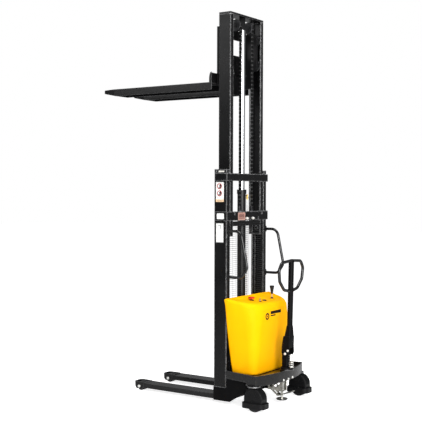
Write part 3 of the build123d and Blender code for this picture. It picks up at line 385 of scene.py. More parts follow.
def line_look():
    """Clear nylon return line with a brass elbow at its upper end."""
    look = bare_metal("line_brass_nylon", (0.34, 0.22, 0.05), (0.52, 0.36, 0.12), (0.22, 0.36), EVEN)
    x, y, z = look.axes()
    tube = look.math("LESS_THAN", z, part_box("return_line")[1].z - 0.045)
    look.tint(tube, (0.55, 0.55, 0.54))
    look.paint(tube, "Metallic", 0.0)
    return look


def chain_look():
    """Oiled leaf chain: dark plates with a lighter band painted at every second pin as a painted highlight of
    the glints on the plate ends.
    """
    look = bare_metal("chain_links", grey(0.018), grey(0.035), (0.32, 0.45), grime=0.5,
                      grime_colour=grey(0.008))
    x, y, z = look.axes()
    along = look.math("FRACT", look.math("DIVIDE", z, 2 * CHAIN_PITCH))
    # Painted highlight: a lighter band at every second pin stands in for the glints on the plate ends.
    look.tint(look.between(along, 0.3, 0.62), grey(0.16))
    return look


def pad_look():
    """Light nylon block on the mast's top, dark guide strips inside it."""
    look = moulded("pad_nylon", (0.62, 0.6, 0.55), (0.78, 0.76, 0.7))
    x, y, z = look.axes()
    look.tint(look.math("LESS_THAN", z, 1.806), grey(0.012))
    return look


def foot_look():
    """Rubber tread under a zinc-plated plunger."""
    look = bare_metal("lock_foot", (0.45, 0.44, 0.41), (0.65, 0.64, 0.6), (0.26, 0.4), EVEN, grime=0.4)
    x, y, z = look.axes()
    tread = look.math("LESS_THAN", z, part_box("lock_pad")[0].z + 0.009)
    look.tint(tread, grey(0.01))
    look.paint(tread, "Metallic", 0.0)
    return look


LOOKS.update(cover_printed=printed_cover(), label_warning=warning_film(), label_rating=rating_film(),
             label_chart=chart_film(), label_bar=bar_film(), estop_head=stop_head(), gauge_face=gauge_look(),
             lever_two_tone=lever_look(), nylon_line=line_look(), pad_nylon=pad_look(), lock_foot=foot_look(),
             chain_links=chain_look())
NODE_SLOT = {row["node"]: row["material_slot"] for row in frame["record"]["subparts"]}
NODE_LOOK = {
    "mast_steel": ("outer_mast_left", "outer_mast_right", "inner_channel_left", "inner_channel_right",
                   "upper_crossbar", "lower_crossbar"),
    "blade_satin": ("fork_left", "fork_right", "support_leg_left", "support_leg_right", "deck_skirt",
                    "inner_mast_ties"),
    "pole_satin": ("tiller_pole", "tiller_turret", "mast_foot_left", "mast_foot_right"),
    "tube_gloss": ("grab_handles", "tiller_loop"),
    "deck_gloss": ("deck_plate",),
    "machined_steel": ("chain_anchors", "carriage_chain_ends"),
    "lock_zinc": ("floor_lock_bracket", "lock_pedal"),
    "nylon_line": ("return_line",),
    "pad_nylon": ("mast_wear_pads",),
    "lock_foot": ("lock_pad",),
}
LOOK_OF = {node: look for look, nodes in NODE_LOOK.items() for node in nodes}
for node, thing in NODES.items():
    thing.data.materials.clear()
    thing.data.materials.append(LOOKS[LOOK_OF.get(node, NODE_SLOT[node])].material)


# ---- mesh building
class Build:
    """Collects vertices and faces in row-frame metres and turns them into one piece."""

    def __init__(self):
        self.verts, self.faces = [], []

    def add(self, verts, faces):
        start = len(self.verts)
        self.verts.extend(tuple(v) for v in verts)
        self.faces.extend(tuple(start + i for i in face) for face in faces)

    def rings(self, rings, closed=False, caps=True):
        """Skin over rings of equal length; closed joins the last ring to the first."""
        count = len(rings[0])
        verts = [v for ring in rings for v in ring]
        faces = []
        last = len(rings) if closed else len(rings) - 1
        for i in range(last):
            a, b = i * count, ((i + 1) % len(rings)) * count
            for k in range(count):
                n = (k + 1) % count
                faces.append((a + k, a + n, b + n, b + k))
        if caps and not closed:
            faces.append(tuple(reversed(range(count))))
            faces.append(tuple(range((len(rings) - 1) * count, len(rings) * count)))
        self.add(verts, faces)

    def lathe(self, origin, axis, profile, count=32):
        """Turned shape: profile is (distance along axis, radius) from one end to the other."""
        origin, axis = Vector(origin), Vector(axis).normalized()
        side = axis.orthogonal().normalized()
        other = axis.cross(side)
        rings = []
        for along, radius in profile:
            middle = origin + axis * along
            rings.append([
                middle + (side * math.cos(t) + other * math.sin(t)) * max(radius, 1e-6)
                for t in (2 * math.pi * k / count for k in range(count))])
        self.rings(rings)

    def tube(self, path, radius, count=12, closed=False, flat=1.0):
        """Round tube along points; radius is a number or a function of the share of the way."""
        points = [Vector(p) for p in path]
        total = len(points)
        rings, normal = [], None
        for i, point in enumerate(points):
            before = points[i - 1] if (i > 0 or closed) else point
            after = points[(i + 1) % total] if (i < total - 1 or closed) else point
            ahead = (after - before).normalized()
            if normal is None:
                normal = ahead.orthogonal().normalized()
            normal = (normal - ahead * normal.dot(ahead)).normalized()
            other = ahead.cross(normal)
            size = radius(i / max(1, total - 1)) if callable(radius) else radius
            rings.append([
                point + (normal * math.cos(t) + other * math.sin(t) * flat) * size
                for t in (2 * math.pi * k / count for k in range(count))])
        self.rings(rings, closed=closed)

    def prism(self, outline, axis, low, high):
        """Flat outline swept along a main axis; outline gives the two other coordinates."""
        def place(a, b, c):
            return {"X": (c, a, b), "Y": (a, c, b), "Z": (a, b, c)}[axis]
        self.rings([[place(a, b, low) for a, b in outline], [place(a, b, high) for a, b in outline]])

    def soft_box(self, low, high, radius, segments=2):
        """Box with rounded edges."""
        bm = bmesh.new()
        bmesh.ops.create_cube(bm, size=1.0)
        for v in bm.verts:
            v.co = Vector([(low[i] + high[i]) / 2 + v.co[i] * (high[i] - low[i]) for i in range(3)])
        bmesh.ops.bevel(bm, geom=bm.edges[:], offset=radius, segments=segments, profile=0.5, affect="EDGES")
        bm.verts.index_update()
        self.add([v.co.copy() for v in bm.verts], [[v.index for v in f.verts] for f in bm.faces])
        bm.free()

    def hex_head(self, origin, axis, across, height, washer=None, turn=0.0):
        """Hexagon head with a chamfered top, sitting on an optional washer."""
        origin, axis = Vector(origin), Vector(axis).normalized()
        base = 0.0
        if washer:
            radius, thick = washer
            self.lathe(origin, axis, [(0, radius * 0.97), (0, radius), (thick * 0.8, radius),
                                      (thick, radius * 0.95), (thick, 0)], 24)
            base = thick
        side = axis.orthogonal().normalized()
        other = axis.cross(side)
        corner = across / math.sqrt(3)

        def ring(along, size, round_off):
            made = []
            for k in range(12):
                t = turn + math.pi * k / 6
                reach = size if k % 2 == 0 else size * math.cos(math.pi / 6) * (1 + round_off)
                made.append(origin + axis * along + (side * math.cos(t) + other * math.sin(t)) * reach)
            return made
        self.rings([
            ring(base, corner, 0), ring(base + height * 0.82, corner, 0),
            ring(base + height, corner * 0.88, 0.12), ring(base + height, corner * 0.5, 0.12),
            ring(base + height * 0.93, corner * 0.42, 0.12)])

    def finish(self, name, body, look, replaces=(), slot=None, sharp=35.0, closed=True):
        """The collected mesh as a piece with the look's material; slot is not used."""
        mesh = bpy.data.meshes.new(name)
        mesh.from_pydata([tuple(v) for v in self.verts], [], self.faces)
        mesh.validate()
        mesh.materials.append(LOOKS[look].material)
        bm = bmesh.new()
        bm.from_mesh(mesh)
        bmesh.ops.remove_doubles(bm, verts=bm.verts[:], dist=1e-7)
        bmesh.ops.recalc_face_normals(bm, faces=bm.faces[:])
        if not closed:
            centre = sum((v.co for v in bm.verts), Vector()) / len(bm.verts)
            if sum(f.normal.dot(f.calc_center_median() - centre) * f.calc_area() for f in bm.faces) < 0:
                bmesh.ops.reverse_faces(bm, faces=bm.faces[:])
        bm.to_mesh(mesh)
        bm.free()
        mesh.shade_smooth()
        mesh.set_sharp_from_angle(angle=math.radians(sharp))
        made = new_object(name, mesh)
        if body:
            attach(made, body)
        if replaces:
            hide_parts(*replaces)
        return made


def arc_points(centre, radius, start, end, steps, place):
    """Points on an arc; place turns (a, b) into a row-frame point."""
    return [
        place(centre[0] + radius * math.cos(math.radians(start + (end - start) * i / steps)),
              centre[1] + radius * math.sin(math.radians(start + (end - start) * i / steps)))
        for i in range(steps + 1)]


# ---- leaf chains
CHAIN_X = 0.089
CHAIN_R = 0.0393
PULLEY = Vector((0, MAST_Y + 0.06, 2.977))
ANCHOR_Z = 1.54
CARRIAGE_CHAIN_Z = 2.65
PLATES = 7
PLATE_T = 0.0029
PLATE_GAP = 0.0005
PLATE_HALF = 0.0063
WRAP_LINKS = 8


def link_plates(build, a, b, x_middle, odd):
    """Figure-of-eight plates of one link between two pin centres (y, z)."""
    a, b = Vector(a), Vector(b)
    along = (b - a).normalized()
    across = Vector((-along.y, along.x))
    outline = []
    for centre, first in ((b, -75), (a, 105)):
        for step in range(6):
            t = math.radians(first + 30 * step)
            outline.append(centre + (along * math.cos(t) + across * math.sin(t)) * PLATE_HALF)
        waist = (a + b) / 2 + across * PLATE_HALF * 0.74 * (1 if centre is b else -1)
        outline.append(waist)
    for k in range(PLATES):
        if (k % 2 == 0) != odd:
            continue
        low = x_middle + (k - (PLATES - 1) / 2) * (PLATE_T + PLATE_GAP) - PLATE_T / 2
        build.prism([(p.x, p.y) for p in outline], "X", low, low + PLATE_T)


def chain_along(build, x_middle, centres, first_odd=True):
    """Leaf chain through pin centres given as (y, z)."""
    half = PLATES * (PLATE_T + PLATE_GAP) / 2 + 0.0002
    for i, (a, b) in enumerate(zip(centres, centres[1:])):
        link_plates(build, a, b, x_middle, (i % 2 == 0) == first_odd)
    for y, z in centres:
        build.lathe((x_middle - half, y, z), (1, 0, 0),
                    [(0, 0.0022), (0.0004, 0.0028), (2 * half - 0.0004, 0.0028), (2 * half, 0.0022)], 10)


def straight_centres(y, low, high):
    links = round((high - low) / CHAIN_PITCH)
    return [(y, low + (high - low) * i / links) for i in range(links + 1)]


rear_y, front_y = PULLEY.y + CHAIN_R, PULLEY.y - CHAIN_R
for side, word in ((1, "left"), (-1, "right")):
    strand = Build()
    chain_along(strand, side * CHAIN_X, straight_centres(rear_y, ANCHOR_Z + 0.004, PULLEY.z))
    piece = strand.finish(f"rear_chain_{word}", "chassis", "chain_links",
                          ["rear_chains"] if side > 0 else (), "chain_steel")
    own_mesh(piece)
    strand = Build()
    chain_along(strand, side * CHAIN_X, straight_centres(front_y, CARRIAGE_CHAIN_Z + 0.004, PULLEY.z))
    piece = strand.finish(f"front_chain_{word}", None, "chain_links",
                          ["front_chains"] if side > 0 else (), "chain_steel")
    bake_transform(piece)
    strand = Build()
    turns = [math.pi * i / WRAP_LINKS for i in range(WRAP_LINKS + 1)]
    centres = [(PULLEY.y + CHAIN_R * math.cos(t), PULLEY.z + CHAIN_R * math.sin(t)) for t in turns]
    chain_along(strand, side * CHAIN_X, centres, first_odd=False)
    strand.finish(f"chain_wrap_{word}", "inner_mast", "chain_steel", ["chain_wraps"] if side > 0 else ())


# ---- safety mesh
WIRE_R = 0.0013
WIRE_ROWS, WIRE_COLUMNS = 44, 11
WIRE_INSET = 0.003


def wire_run(grid, start, axis, length, radius):
    """Straight wire with slightly rounded ends."""
    grid.lathe(start, axis, [(0, radius * 0.7), (0.0006, radius), (length - 0.0006, radius),
                             (length, radius * 0.7)], 8)


def safety_mesh():
    """Level wires in front of thin upright ones, with a heavier wire at each side."""
    low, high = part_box("safety_mesh")
    grid = Build()
    for i in range(WIRE_ROWS + 1):
        z = low.z + WIRE_INSET + (high.z - low.z - 2 * WIRE_INSET) * i / WIRE_ROWS
        wire_run(grid, (low.x, high.y - WIRE_R, z), (1, 0, 0), high.x - low.x, WIRE_R)
    for i in range(WIRE_COLUMNS + 1):
        x = low.x + WIRE_INSET + (high.x - low.x - 2 * WIRE_INSET) * i / WIRE_COLUMNS
        wire = WIRE_R * (0.45 if 0 < i < WIRE_COLUMNS else 1.5)
        wire_run(grid, (x, low.y + wire * 0.9, low.z), UP, high.z - low.z, wire)
    grid.finish("mesh_wires", "chassis", "black_steel", ["safety_mesh"])


safety_mesh()


# ---- body cover
# (height, half width at the mast, half width at the back, mast-side y, back y, back radius),
# with both y behind the mast front
COVER_SECTIONS = [
    (0.254, 0.262, 0.260, 0.146, 0.348, 0.058),
    (0.340, 0.270, 0.265, 0.136, 0.354, 0.070),
    (0.475, 0.283, 0.272, 0.124, 0.363, 0.084),
    (0.640, 0.304, 0.278, 0.118, 0.371, 0.098),
    (0.760, 0.322, 0.282, 0.118, 0.371, 0.130),
    (0.860, 0.344, 0.290, 0.118, 0.362, 0.170),
]
COVER_FOOT = COVER_SECTIONS[0][0]
RIM_Z = 0.8  # height whose plan the rim and the panel follow
TOP_FRONT, TOP_REAR = 0.836, 0.797
TOP_FRONT_Y, TOP_REAR_Y = 0.118, 0.34
TOP_SLOPE = (TOP_REAR - TOP_FRONT) / (TOP_REAR_Y - TOP_FRONT_Y)
POCKET = 0.012
COVER_WALL = 0.003
SIDE_STEPS, ARC_STEPS, REAR_STEPS, FRONT_STEPS = 14, 14, 10, 10
WALL_ROWS, RIM_ROWS = 34, 8


def section_at(z):
    """Cover section at a height, smooth through the listed rows."""
    rows = COVER_SECTIONS
    k = max(0, min(len(rows) - 2, sum(1 for row in rows[1:-1] if z >= row[0])))
    before, low, high, after = rows[max(0, k - 1)], rows[k], rows[k + 1], rows[min(len(rows) - 1, k + 2)]
    span = high[0] - low[0]
    t = (z - low[0]) / span
    values = []
    for c in range(1, 6):
        start = (high[c] - before[c]) / (high[0] - before[0]) * span
        end = (after[c] - low[c]) / (after[0] - low[0]) * span
        values.append((2 * t ** 3 - 3 * t ** 2 + 1) * low[c] + (t ** 3 - 2 * t ** 2 + t) * start
                      + (3 * t ** 2 - 2 * t ** 3) * high[c] + (t ** 3 - t ** 2) * end)
    return values


def top_z(y):
    """Height of the sloping top face at a depth behind the mast front."""
    return TOP_FRONT + TOP_SLOPE * (y - TOP_FRONT_Y)


def cover_outline(z, inset, front_inset=0.0):
    """Closed plan outline, with a slight crown on the sides and the back."""
    wide, narrow, y0, y1, radius = section_at(z)
    wide, narrow, y1, radius = wide - inset, narrow - inset, y1 - inset, max(0.012, radius - inset)
    y0 += front_inset
    crown = 0.004 * (1 - min(1.0, inset / 0.03))
    corner = Vector((narrow, y1))
    reach = 1.15 * radius
    arc_start = corner + Vector((wide - narrow, y0 - y1)).normalized() * reach
    arc_end = corner + Vector((-reach, 0))
    points = []
    for i in range(SIDE_STEPS):
        t = i / SIDE_STEPS
        points.append(Vector((wide, y0)).lerp(arc_start, t) + Vector((1, 0)) * crown * math.sin(math.pi * t))
    for i in range(ARC_STEPS):
        t = i / ARC_STEPS
        points.append(arc_start.lerp(corner, t).lerp(corner.lerp(arc_end, t), t))
    for i in range(REAR_STEPS + 1):
        t = i / REAR_STEPS
        points.append(arc_end.lerp(Vector((0, y1)), t) + Vector((0, 1)) * crown * math.sin(math.pi * t / 2))
    points += [Vector((-p.x, p.y)) for p in reversed(points[:-1])]
    front = [Vector((-wide, y0)).lerp(Vector((wide, y0)), i / FRONT_STEPS) for i in range(1, FRONT_STEPS)]
    return points + front


AROUND = len(cover_outline(0.5, 0.0))
WALL_COUNT = AROUND - (FRONT_STEPS - 1)


def corner_share(k):
    """0 at the two mast-side corners, 1 in the middle of the back."""
    return 1 - abs(k / (WALL_COUNT - 1) * 2 - 1) if k < WALL_COUNT else 0.0


def rim_radius(k):
    """Rounding of the top edge: tight beside the mast, wide at the operator's end."""
    if k >= WALL_COUNT:
        return 0.006
    rise = max(0.0, min(1.0, (corner_share(k) - 0.12) / 0.42))
    return 0.01 + 0.024 * rise * rise * (3 - 2 * rise)


def lip(k, below_top):
    """Outward flare of the rim next to the mast."""
    if k >= WALL_COUNT:
        return 0.0
    return 0.006 * max(0.0, 1 - corner_share(k) / 0.14) ** 2 * max(0.0, 1 - below_top / 0.022)


def cover_rows():
    """Rings of the cover from its foot, over the rim and down into the panel recess."""
    rows = []
    plan_at_top = cover_outline(RIM_Z, 0.0)
    for j in range(WALL_ROWS + 1):
        ring = []
        for k in range(AROUND):
            ceiling = top_z(plan_at_top[k].y) - rim_radius(k)
            z = COVER_FOOT + (ceiling - COVER_FOOT) * j / WALL_ROWS
            p = cover_outline(z, 0.0)[k]
            flare = math.copysign(lip(k, ceiling + rim_radius(k) - z), p.x)
            ring.append(Vector((p.x + flare, MAST_Y + p.y, z)))
        rows.append(ring)
    for j in range(1, RIM_ROWS + 1):
        turn = math.pi / 2 * j / RIM_ROWS
        ring = []
        for k in range(AROUND):
            radius = rim_radius(k)
            inset = radius * (1 - math.cos(turn))
            p = cover_outline(RIM_Z, inset, inset if k >= WALL_COUNT else inset * (1 - corner_share(k)))[k]
            z = top_z(p.y) - radius + radius * math.sin(turn)
            flare = math.copysign(lip(k, top_z(p.y) - z), p.x)
            ring.append(Vector((p.x + flare, MAST_Y + p.y, z)))
        rows.append(ring)
    for inset, drop in ((0.036, 0.0), (0.0385, 0.0006), (0.04, 0.0022), (0.0415, POCKET - 0.0026),
                        (0.043, POCKET - 0.0008), (0.046, POCKET)):
        outline = cover_outline(RIM_Z, inset, 0.02 + inset - 0.036)
        rows.append([Vector((p.x, MAST_Y + p.y, top_z(p.y) - drop)) for p in outline])
    return rows


def build_cover():
    rows = cover_rows()
    shell = Build()
    faces = []
    for j in range(len(rows) - 1):
        for k in range(AROUND):
            if k >= WALL_COUNT - 1 and j < WALL_ROWS - 2:
                continue
            a, b, n = j * AROUND, (j + 1) * AROUND, (k + 1) % AROUND
            faces.append((a + k, a + n, b + n, b + k))
    last = (len(rows) - 1) * AROUND
    faces.append(tuple(last + k for k in range(AROUND)))
    shell.add([v for ring in rows for v in ring], faces)
    return shell


cover = build_cover().finish("cover_shell", "chassis", "cover_printed", ["body_cover"], "yellow_cover",
                             sharp=50, closed=False)
thick = cover.modifiers.new("wall", "SOLIDIFY")
thick.thickness = COVER_WALL
thick.offset = -1.0


# ---- panel fittings
FLANGE_SINK = 0.004


def turned(name, body, look, foot, profile, replaces=(), slot=None, count=32):
    """Upright turned piece on its foot point."""
    made = Build()
    made.lathe(foot, UP, profile, count)
    return made.finish(name, body, look, replaces, slot)


def on_panel(place, rise=-FLANGE_SINK):
    """Point on the panel recess under or over a place."""
    return (place.x, place.y, top_z(place.y - MAST_Y) - POCKET + rise)


def panel_rings():
    """Fixed collars, rings and the gaiter around the controls."""
    estop, key, lever = middle("estop_button"), middle("key"), middle("lift_lever")
    turned("estop_collar", "chassis", "black_plastic", on_panel(estop),
           [(0, 0.019), (0.007, 0.019), (0.0085, 0.0175), (0.0085, 0.0085), (0.004, 0.0085)],
           ["panel_fittings"])
    turned("key_switch", "chassis", "black_plastic", on_panel(key),
           [(0, 0.0125), (0.0065, 0.0125), (0.0085, 0.011), (0.0085, 0.0075), (0.0075, 0.007),
            (0.0075, 0.0046), (0.002, 0.0046)])
    turned("charge_gauge", "chassis", "gauge_face", on_panel(key + GAUGE_FROM_KEY),
           [(0, 0.019), (0.007, 0.019), (0.0088, 0.0175), (0.0088, 0.016), (0.0065, 0.0152), (0.0065, 0)],
           slot="black_plastic")
    turned("lever_ring", "chassis", "yellow_cover", on_panel(lever),
           [(0, 0.024), (0.0075, 0.0235), (0.0105, 0.0215), (0.011, 0.019), (0.009, 0.0175),
            (0.007, 0.017)])
    turned("lever_gaiter", "chassis", "hose_rubber", on_panel(lever, 0.001),
           [(0, 0.017), (0.003, 0.0165), (0.005, 0.013), (0.0065, 0.0138), (0.009, 0.0105),
            (0.0105, 0.0112), (0.0135, 0.0085), (0.016, 0.008)], slot="black_plastic")


def stop_button():
    """Mushroom head with a dished top, on its stem."""
    place, (low, high) = middle("estop_button"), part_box("estop_button")
    tall = high.z - low.z
    turned("estop_mushroom", "stop_button", "estop_head", (place.x, place.y, low.z),
           [(0, 0.0065), (0.03, 0.0065), (0.0305, 0.019), (0.0325, 0.0262), (0.0365, 0.027),
            (0.04, 0.0262), (tall - 0.0008, 0.0225), (tall, 0.0185), (tall - 0.001, 0.0155),
            (tall - 0.0018, 0)], ["estop_button"], "red_plastic", 40)


def key_blade():
    """Round shank, flat neck and an oval bow with a hole."""
    place, (low, high) = middle("key"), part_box("key")
    half, outer, inner = 0.0013, 0.0088, 0.0036
    bow = Build()
    bow.lathe((place.x, place.y, low.z), UP, [(0, 0.0038), (0.0165, 0.004), (0.0185, 0.003)], 20)
    bow.soft_box((place.x - half, place.y - 0.0032, low.z + 0.015),
                 (place.x + half, place.y + 0.0032, low.z + 0.022), 0.0006)
    centre_z = high.z - outer
    bow.rings([
        [Vector((place.x + dx, place.y + r * math.cos(t), centre_z + r * 0.9 * math.sin(t)))
         for dx, r in ((-half, outer), (half, outer), (half, inner), (-half, inner))]
        for t in (2 * math.pi * k / 28 for k in range(28))], closed=True)
    bow.finish("key_blade", "key_body", "key_steel", ["key"])


def lever_stick():
    """Bare rod with a knob that widens upwards."""
    place, (low, high) = middle("lift_lever"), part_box("lift_lever")
    tall = high.z - low.z
    knob = tall - KNOB_HEIGHT
    turned("lever_stick", "lever", "lever_two_tone", (place.x, place.y, low.z),
           [(0, 0.008), (0.012, 0.008), (0.015, 0.005), (knob, 0.005), (knob, 0.0074),
            (knob + 0.002, 0.0086), (knob + 0.01, 0.0102), (knob + 0.036, 0.0135), (knob + 0.056, 0.018),
            (tall - 0.004, 0.0188), (tall - 0.001, 0.017), (tall, 0.014), (tall, 0)],
           ["lift_lever"], "black_plastic")


panel_rings()
stop_button()
key_blade()
lever_stick()


# ---- labels
def film_piece(name, low, high, axis, first=False):
    """Thin film with rounded corners on a face across X or Y."""
    film = Build()
    across = 1 if axis == 0 else 0
    radius, steps = 0.004, 4
    outline = []
    right, left = high[across] - radius, low[across] + radius
    top, foot = high[2] - radius, low[2] + radius
    for cx, cz, start in ((right, top, 0), (left, top, 90), (left, foot, 180), (right, foot, 270)):
        for i in range(steps + 1):
            t = math.radians(start + 90 * i / steps)
            outline.append((cx + radius * math.cos(t), cz + radius * math.sin(t)))
    film.prism(outline, "X" if axis == 0 else "Y", low[axis], high[axis])
    film.finish(name, "chassis", name, ["labels"] if first else (), "label_film")


BAR_FACE = 0.315
BAR_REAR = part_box("lower_crossbar")[1].y
OUTER_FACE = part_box("outer_mast_left")[1].x
FILM = 0.0006


def side_film(name, face, across, up, first=False):
    """Film on a face across X; across is measured behind the mast front."""
    film_piece(name, (face, MAST_Y + across[0], up[0]), (face + FILM, MAST_Y + across[1], up[1]), 0, first)


side_film("label_warning", OUTER_FACE, (0.012, 0.086), (1.581, 1.736), True)
side_film("label_rating", BAR_FACE, (0.031, 0.096), (1.448, 1.492))
side_film("label_chart", OUTER_FACE, (0.013, 0.085), (1.264, 1.417))
film_piece("label_bar", (0.052, BAR_REAR, 1.437), (0.156, BAR_REAR + FILM, 1.497), 1)


# ---- springs
def coil(name, body, node, drop, radius, wire, turns, ends=0.75):
    """Compression spring with closed end turns, in place of a node and stopping drop below its top."""
    low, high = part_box(node)
    low, high, centre = low.z, high.z - drop, middle(node)
    path = []
    steps = int((turns + 2 * ends) * 20)
    height = high - low - 2 * wire
    for i in range(steps + 1):
        turn = (turns + 2 * ends) * i / steps
        if turn < ends:
            z = 2 * wire * 0.5 * turn / ends
        elif turn > turns + ends:
            z = height - 2 * wire * 0.5 * (turns + 2 * ends - turn) / ends
        else:
            z = wire + (height - 2 * wire) * (turn - ends) / turns
        t = 2 * math.pi * turn
        path.append((centre.x + radius * math.cos(t), centre.y + radius * math.sin(t), low + wire + z))
    spring = Build()
    spring.tube(path, wire, 10)
    return spring.finish(name, body, "zinc_steel", [node])


lock_coil = coil("lock_coil", "chassis", "lock_spring", 0, 0.017, 0.002, 5)
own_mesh(lock_coil)
coil("tiller_coil", "tiller_head", "tiller_spring", 0.006, 0.017, 0.0025, 6)
seat = middle("tiller_spring")
turned("tiller_spring_cap", "tiller_head", "zinc_steel",
       (seat.x, seat.y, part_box("tiller_spring")[1].z - 0.01),
       [(0, 0.011), (0.005, 0.0118), (0.008, 0.0105), (0.01, 0.007), (0.01, 0)])


# ---- bolts
def bolt_row(name, body, look, rows, replaces=()):
    """Hexagon heads at (place, direction, across flats, height, washer radius)."""
    group = Build()
    for place, axis, across, height, washer in rows:
        group.hex_head(place, axis, across, height, (washer, 0.0016) if washer else None, turn=0.3)
    group.finish(name, body, look, replaces, sharp=25)


DECK_ARC_HALF, DECK_ARC_SAG = 0.37, 0.075
DECK_ARC_RADIUS = (DECK_ARC_HALF ** 2 + DECK_ARC_SAG ** 2) / (2 * DECK_ARC_SAG)
DECK_REAR = MAST_Y + 0.495
DECK_BOLT_Z = 0.204
BAR_BOLT_Z = 1.45
TILT_Y, TILT_Z = MAST_Y + 0.49, 0.404


def bright_bolts():
    """Load roller axles, deck edge bolts and crossbar bolts."""
    roller_axle = middle("load_roller_left")
    axle_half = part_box("bright_bolts")[1].x - roller_axle.x
    rows, shafts = [], Build()
    for side in (1, -1):
        for way in (1, -1):
            head = Vector((side * roller_axle.x + way * (axle_half - 0.007), roller_axle.y, roller_axle.z))
            rows.append((head, (way, 0, 0), 0.022, 0.0065, 0))
        shafts.lathe((side * roller_axle.x - axle_half + 0.006, roller_axle.y, roller_axle.z), (1, 0, 0),
                     [(0, 0.0099), (2 * axle_half - 0.012, 0.0099)], 28)
    for x in (-0.07, 0, 0.07):
        edge = DECK_REAR - DECK_ARC_RADIUS + math.sqrt(DECK_ARC_RADIUS ** 2 - x ** 2)
        rows.append((Vector((x, edge, DECK_BOLT_Z)), (0, 1, 0), 0.013, 0.006, 0.0085))
    for x in (-0.0445, 0.0445):
        rows.append((Vector((x, MAST_Y + 0.136, BAR_BOLT_Z)), (0, 1, 0), 0.019, 0.01, 0))
        shafts.lathe((x, BAR_REAR, BAR_BOLT_Z), (0, 1, 0),
                     [(0, 0.005), (0.027, 0.005), (0.028, 0.0042)], 20)
    bolt_row("bright_bolt_heads", "chassis", "zinc_steel", rows, ["bright_bolts"])
    shafts.finish("bright_bolt_shafts", "chassis", "zinc_steel")


def tiller_bolts():
    rows = []
    for side in (1, -1):
        rows.append((Vector((side * 0.0443, TILT_Y, TILT_Z)), (side, 0, 0), 0.017, 0.0042, 0.0095))
        rows.append((Vector((side * 0.039, MAST_Y + 0.512, 0.43)), (side, 0, 0), 0.015, 0.0044, 0.0088))
    bolt_row("tiller_bolt_heads", "tiller", "zinc_steel", rows, ["tiller_bolts"])


bright_bolts()
tiller_bolts()


# ---- casters
FENDER_Z, FENDER_R = 0.101, 0.068
CASTER_X, CASTER_Y = 0.346, MAST_Y + 0.392


def caster(side, word):
    """Beaded fender edges and ribs, axle heads and the race under the deck of one caster."""
    body, wheel = f"caster_swivel_{word}", middle(f"caster_wheel_{word}")
    axle_z = wheel.z + 0.004
    trim = Build()
    for way in (1, -1):
        face_x = wheel.x + way * 0.0418
        rim = arc_points((wheel.y, FENDER_Z), FENDER_R, -4, 184, 36, lambda a, b, x=face_x: (x, a, b))
        trim.tube(rim, 0.0024, 8)
        for angle in (24, 57, 90, 123, 156):
            t = math.radians(angle)
            trim.tube([(face_x, wheel.y + r * math.cos(t), FENDER_Z + r * math.sin(t))
                       for r in (0.024, 0.04, 0.056, 0.067)], 0.002, 8)
        trim.lathe((face_x - way * 0.001, wheel.y, axle_z), (way, 0, 0),
                   [(0, 0.02), (0.003, 0.0195), (0.004, 0.0175)], 28)
    trim.finish(f"caster_trim_{word}", body, "black_plastic")
    rows = [(Vector((wheel.x + way * 0.0448, wheel.y, axle_z)), (way, 0, 0), 0.019, 0.0075, 0.0135)
            for way in (1, -1)]
    bolt_row(f"caster_axle_heads_{word}", body, "black_plastic", rows)
    turned(f"swivel_race_{word}", "chassis", "race_steel", (side * CASTER_X, CASTER_Y, 0.1864),
           [(0, 0.0483), (0, 0.0492), (0.0015, 0.05), (0.005, 0.05), (0.0065, 0.049),
            (0.0065, 0.0483)], (), "zinc_steel", 40)


caster(1, "left")
caster(-1, "right")


# ---- weld beads
def bead(build, path, radius=0.0032, closed=False, waves=26):
    """Weld bead: a thin tube that swells in ripples."""
    points = []
    for a, b in zip(path, path[1:] + (path[:1] if closed else [])):
        a, b = Vector(a), Vector(b)
        steps = max(2, int((b - a).length / 0.004))
        points += [a.lerp(b, i / steps) for i in range(steps)]
    if not closed:
        points.append(Vector(path[-1]))
    build.tube(points, lambda t: radius * (1 + 0.14 * math.sin(2 * math.pi * waves * t)), 8, closed)


def frame_welds():
    """Rings at the grab handles' feet and beads along the crossbars' ends."""
    welds = Build()
    handle_low, handle_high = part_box("grab_handles")
    plate_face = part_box("outer_mast_left")[1].y + 0.005
    for side in (1, -1):
        for z in (handle_high.z - 0.024, handle_low.z + 0.024):
            circle = [(side * 0.28 + 0.0125 * math.cos(t), plate_face + 0.0005, z + 0.0125 * math.sin(t))
                      for t in (2 * math.pi * k / 24 for k in range(24))]
            welds.tube(circle, 0.003, 8, True)
        for node in ("upper_crossbar", "lower_crossbar"):
            low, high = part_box(node)
            for z in (low.z, high.z):
                bead(welds, [(side * (OUTER_FACE + 0.0012), low.y + 0.003, z),
                             (side * (OUTER_FACE + 0.0012), MAST_Y + 0.108, z)], 0.003)
    welds.finish("frame_welds", "chassis", "black_steel")


frame_welds()
# ---- stage, light and camera
def floor_paint():
    """Pale floor with extra brightness for camera rays only, so it throws no more light back."""
    look = Look("floor_paint")
    look.link(look.mix(look.ramp(look.noise(1.2), 0.3, 0.7), grey(0.9), grey(0.92)),
              look.shader.inputs["Base Color"])
    look.set(Roughness=0.9)
    plain = look.shader.outputs["BSDF"]
    seen = look.node("LightPath").outputs["Is Camera Ray"]
    lift = look.node("Emission", {"Strength": 0.8}).outputs["Emission"]
    both = look.node("AddShader", {0: plain, 1: lift}).outputs["Shader"]
    chosen = look.node("MixShader", {"Fac": seen, 1: plain, 2: both}).outputs["Shader"]
    look.link(chosen, look.tree.nodes["Material Output"].inputs["Surface"])
    return look


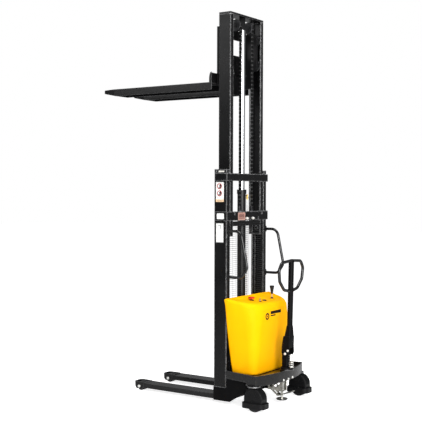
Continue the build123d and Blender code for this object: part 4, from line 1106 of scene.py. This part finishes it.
def floor_sheet(half=30.0, below=-0.0005):
    mesh = bpy.data.meshes.new("floor")
    corners = [(-half, -half, 0), (half, -half, 0), (half, half, 0), (-half, half, 0)]
    mesh.from_pydata(corners, [], [(0, 1, 2, 3)])
    mesh.materials.append(floor_paint().material)
    made = new_object("floor", mesh)
    made.location = (0, 0, below)


floor_sheet()

world = bpy.data.worlds.new("studio")
bpy.context.scene.world = world
world.use_nodes = True
tree = world.node_tree
backdrop, dome = tree.nodes["Background"], tree.nodes.new("ShaderNodeBackground")
for source, colour, strength in ((backdrop, (1.0, 1.0, 1.0, 1.0), 1.0), (dome, (0.98, 0.99, 1.0, 1.0), 0.3)):
    source.inputs["Color"].default_value = colour
    source.inputs["Strength"].default_value = strength
path = tree.nodes.new("ShaderNodeLightPath")
switch = tree.nodes.new("ShaderNodeMixShader")
tree.links.new(path.outputs["Is Camera Ray"], switch.inputs["Fac"])
tree.links.new(dome.outputs["Background"], switch.inputs[1])
tree.links.new(backdrop.outputs["Background"], switch.inputs[2])
tree.links.new(switch.outputs["Shader"], tree.nodes["World Output"].inputs["Surface"])


def soft_light(name, azimuth, distance, height, target, size, power):
    """Rectangular softbox at an azimuth round the machine, facing a target."""
    lamp = bpy.data.lights.new(name, "AREA")
    lamp.shape = "RECTANGLE"
    lamp.size, lamp.size_y = size
    lamp.energy = power
    made = new_object(name, lamp)
    turn = math.radians(azimuth)
    place = Vector((distance * math.cos(turn), distance * math.sin(turn), height))
    made.location = place
    made.rotation_euler = (Vector(target) - place).to_track_quat("-Z", "Y").to_euler()
    return made


soft_light("strip", 50, 4.6, 2.0, (0, 0.4, 1.5), (0.3, 4.2), 130).visible_diffuse = False
soft_light("front", 54, 6.0, 2.2, (0, 0.4, 1.0), (3.4, 3.4), 380)
soft_light("side", -36, 6.5, 4.4, (0, 0.4, 2.6), (2.6, 2.2), 60)
soft_light("top", 60, 1.6, 5.6, (0, 0.3, 0.8), (2.6, 2.6), 220)

scene = bpy.context.scene
scene.view_settings.view_transform = "Standard"

CAMERA_PLACE = Vector((6.2823, 4.3121, 1.6595))
CAMERA_YAW, CAMERA_PITCH, CAMERA_ROLL = math.radians(-146.045), -0.0208, 0.0031
ahead = Vector((math.cos(CAMERA_PITCH) * math.cos(CAMERA_YAW), math.cos(CAMERA_PITCH) * math.sin(CAMERA_YAW),
                math.sin(CAMERA_PITCH)))
right = ahead.cross(Vector((0, 0, 1))).normalized()
above = right.cross(ahead)
tilted_right = right * math.cos(CAMERA_ROLL) + above * math.sin(CAMERA_ROLL)
tilted_up = above * math.cos(CAMERA_ROLL) - right * math.sin(CAMERA_ROLL)
lens = bpy.data.cameras.new("camera")
lens.lens = 78.68
lens.sensor_width = 36.0
lens.clip_end = 100.0
camera = new_object("camera", lens)
camera.matrix_world = Matrix.Translation(CAMERA_PLACE) @ Matrix(
    (tilted_right, tilted_up, -ahead)).transposed().to_4x4()
scene.camera = camera
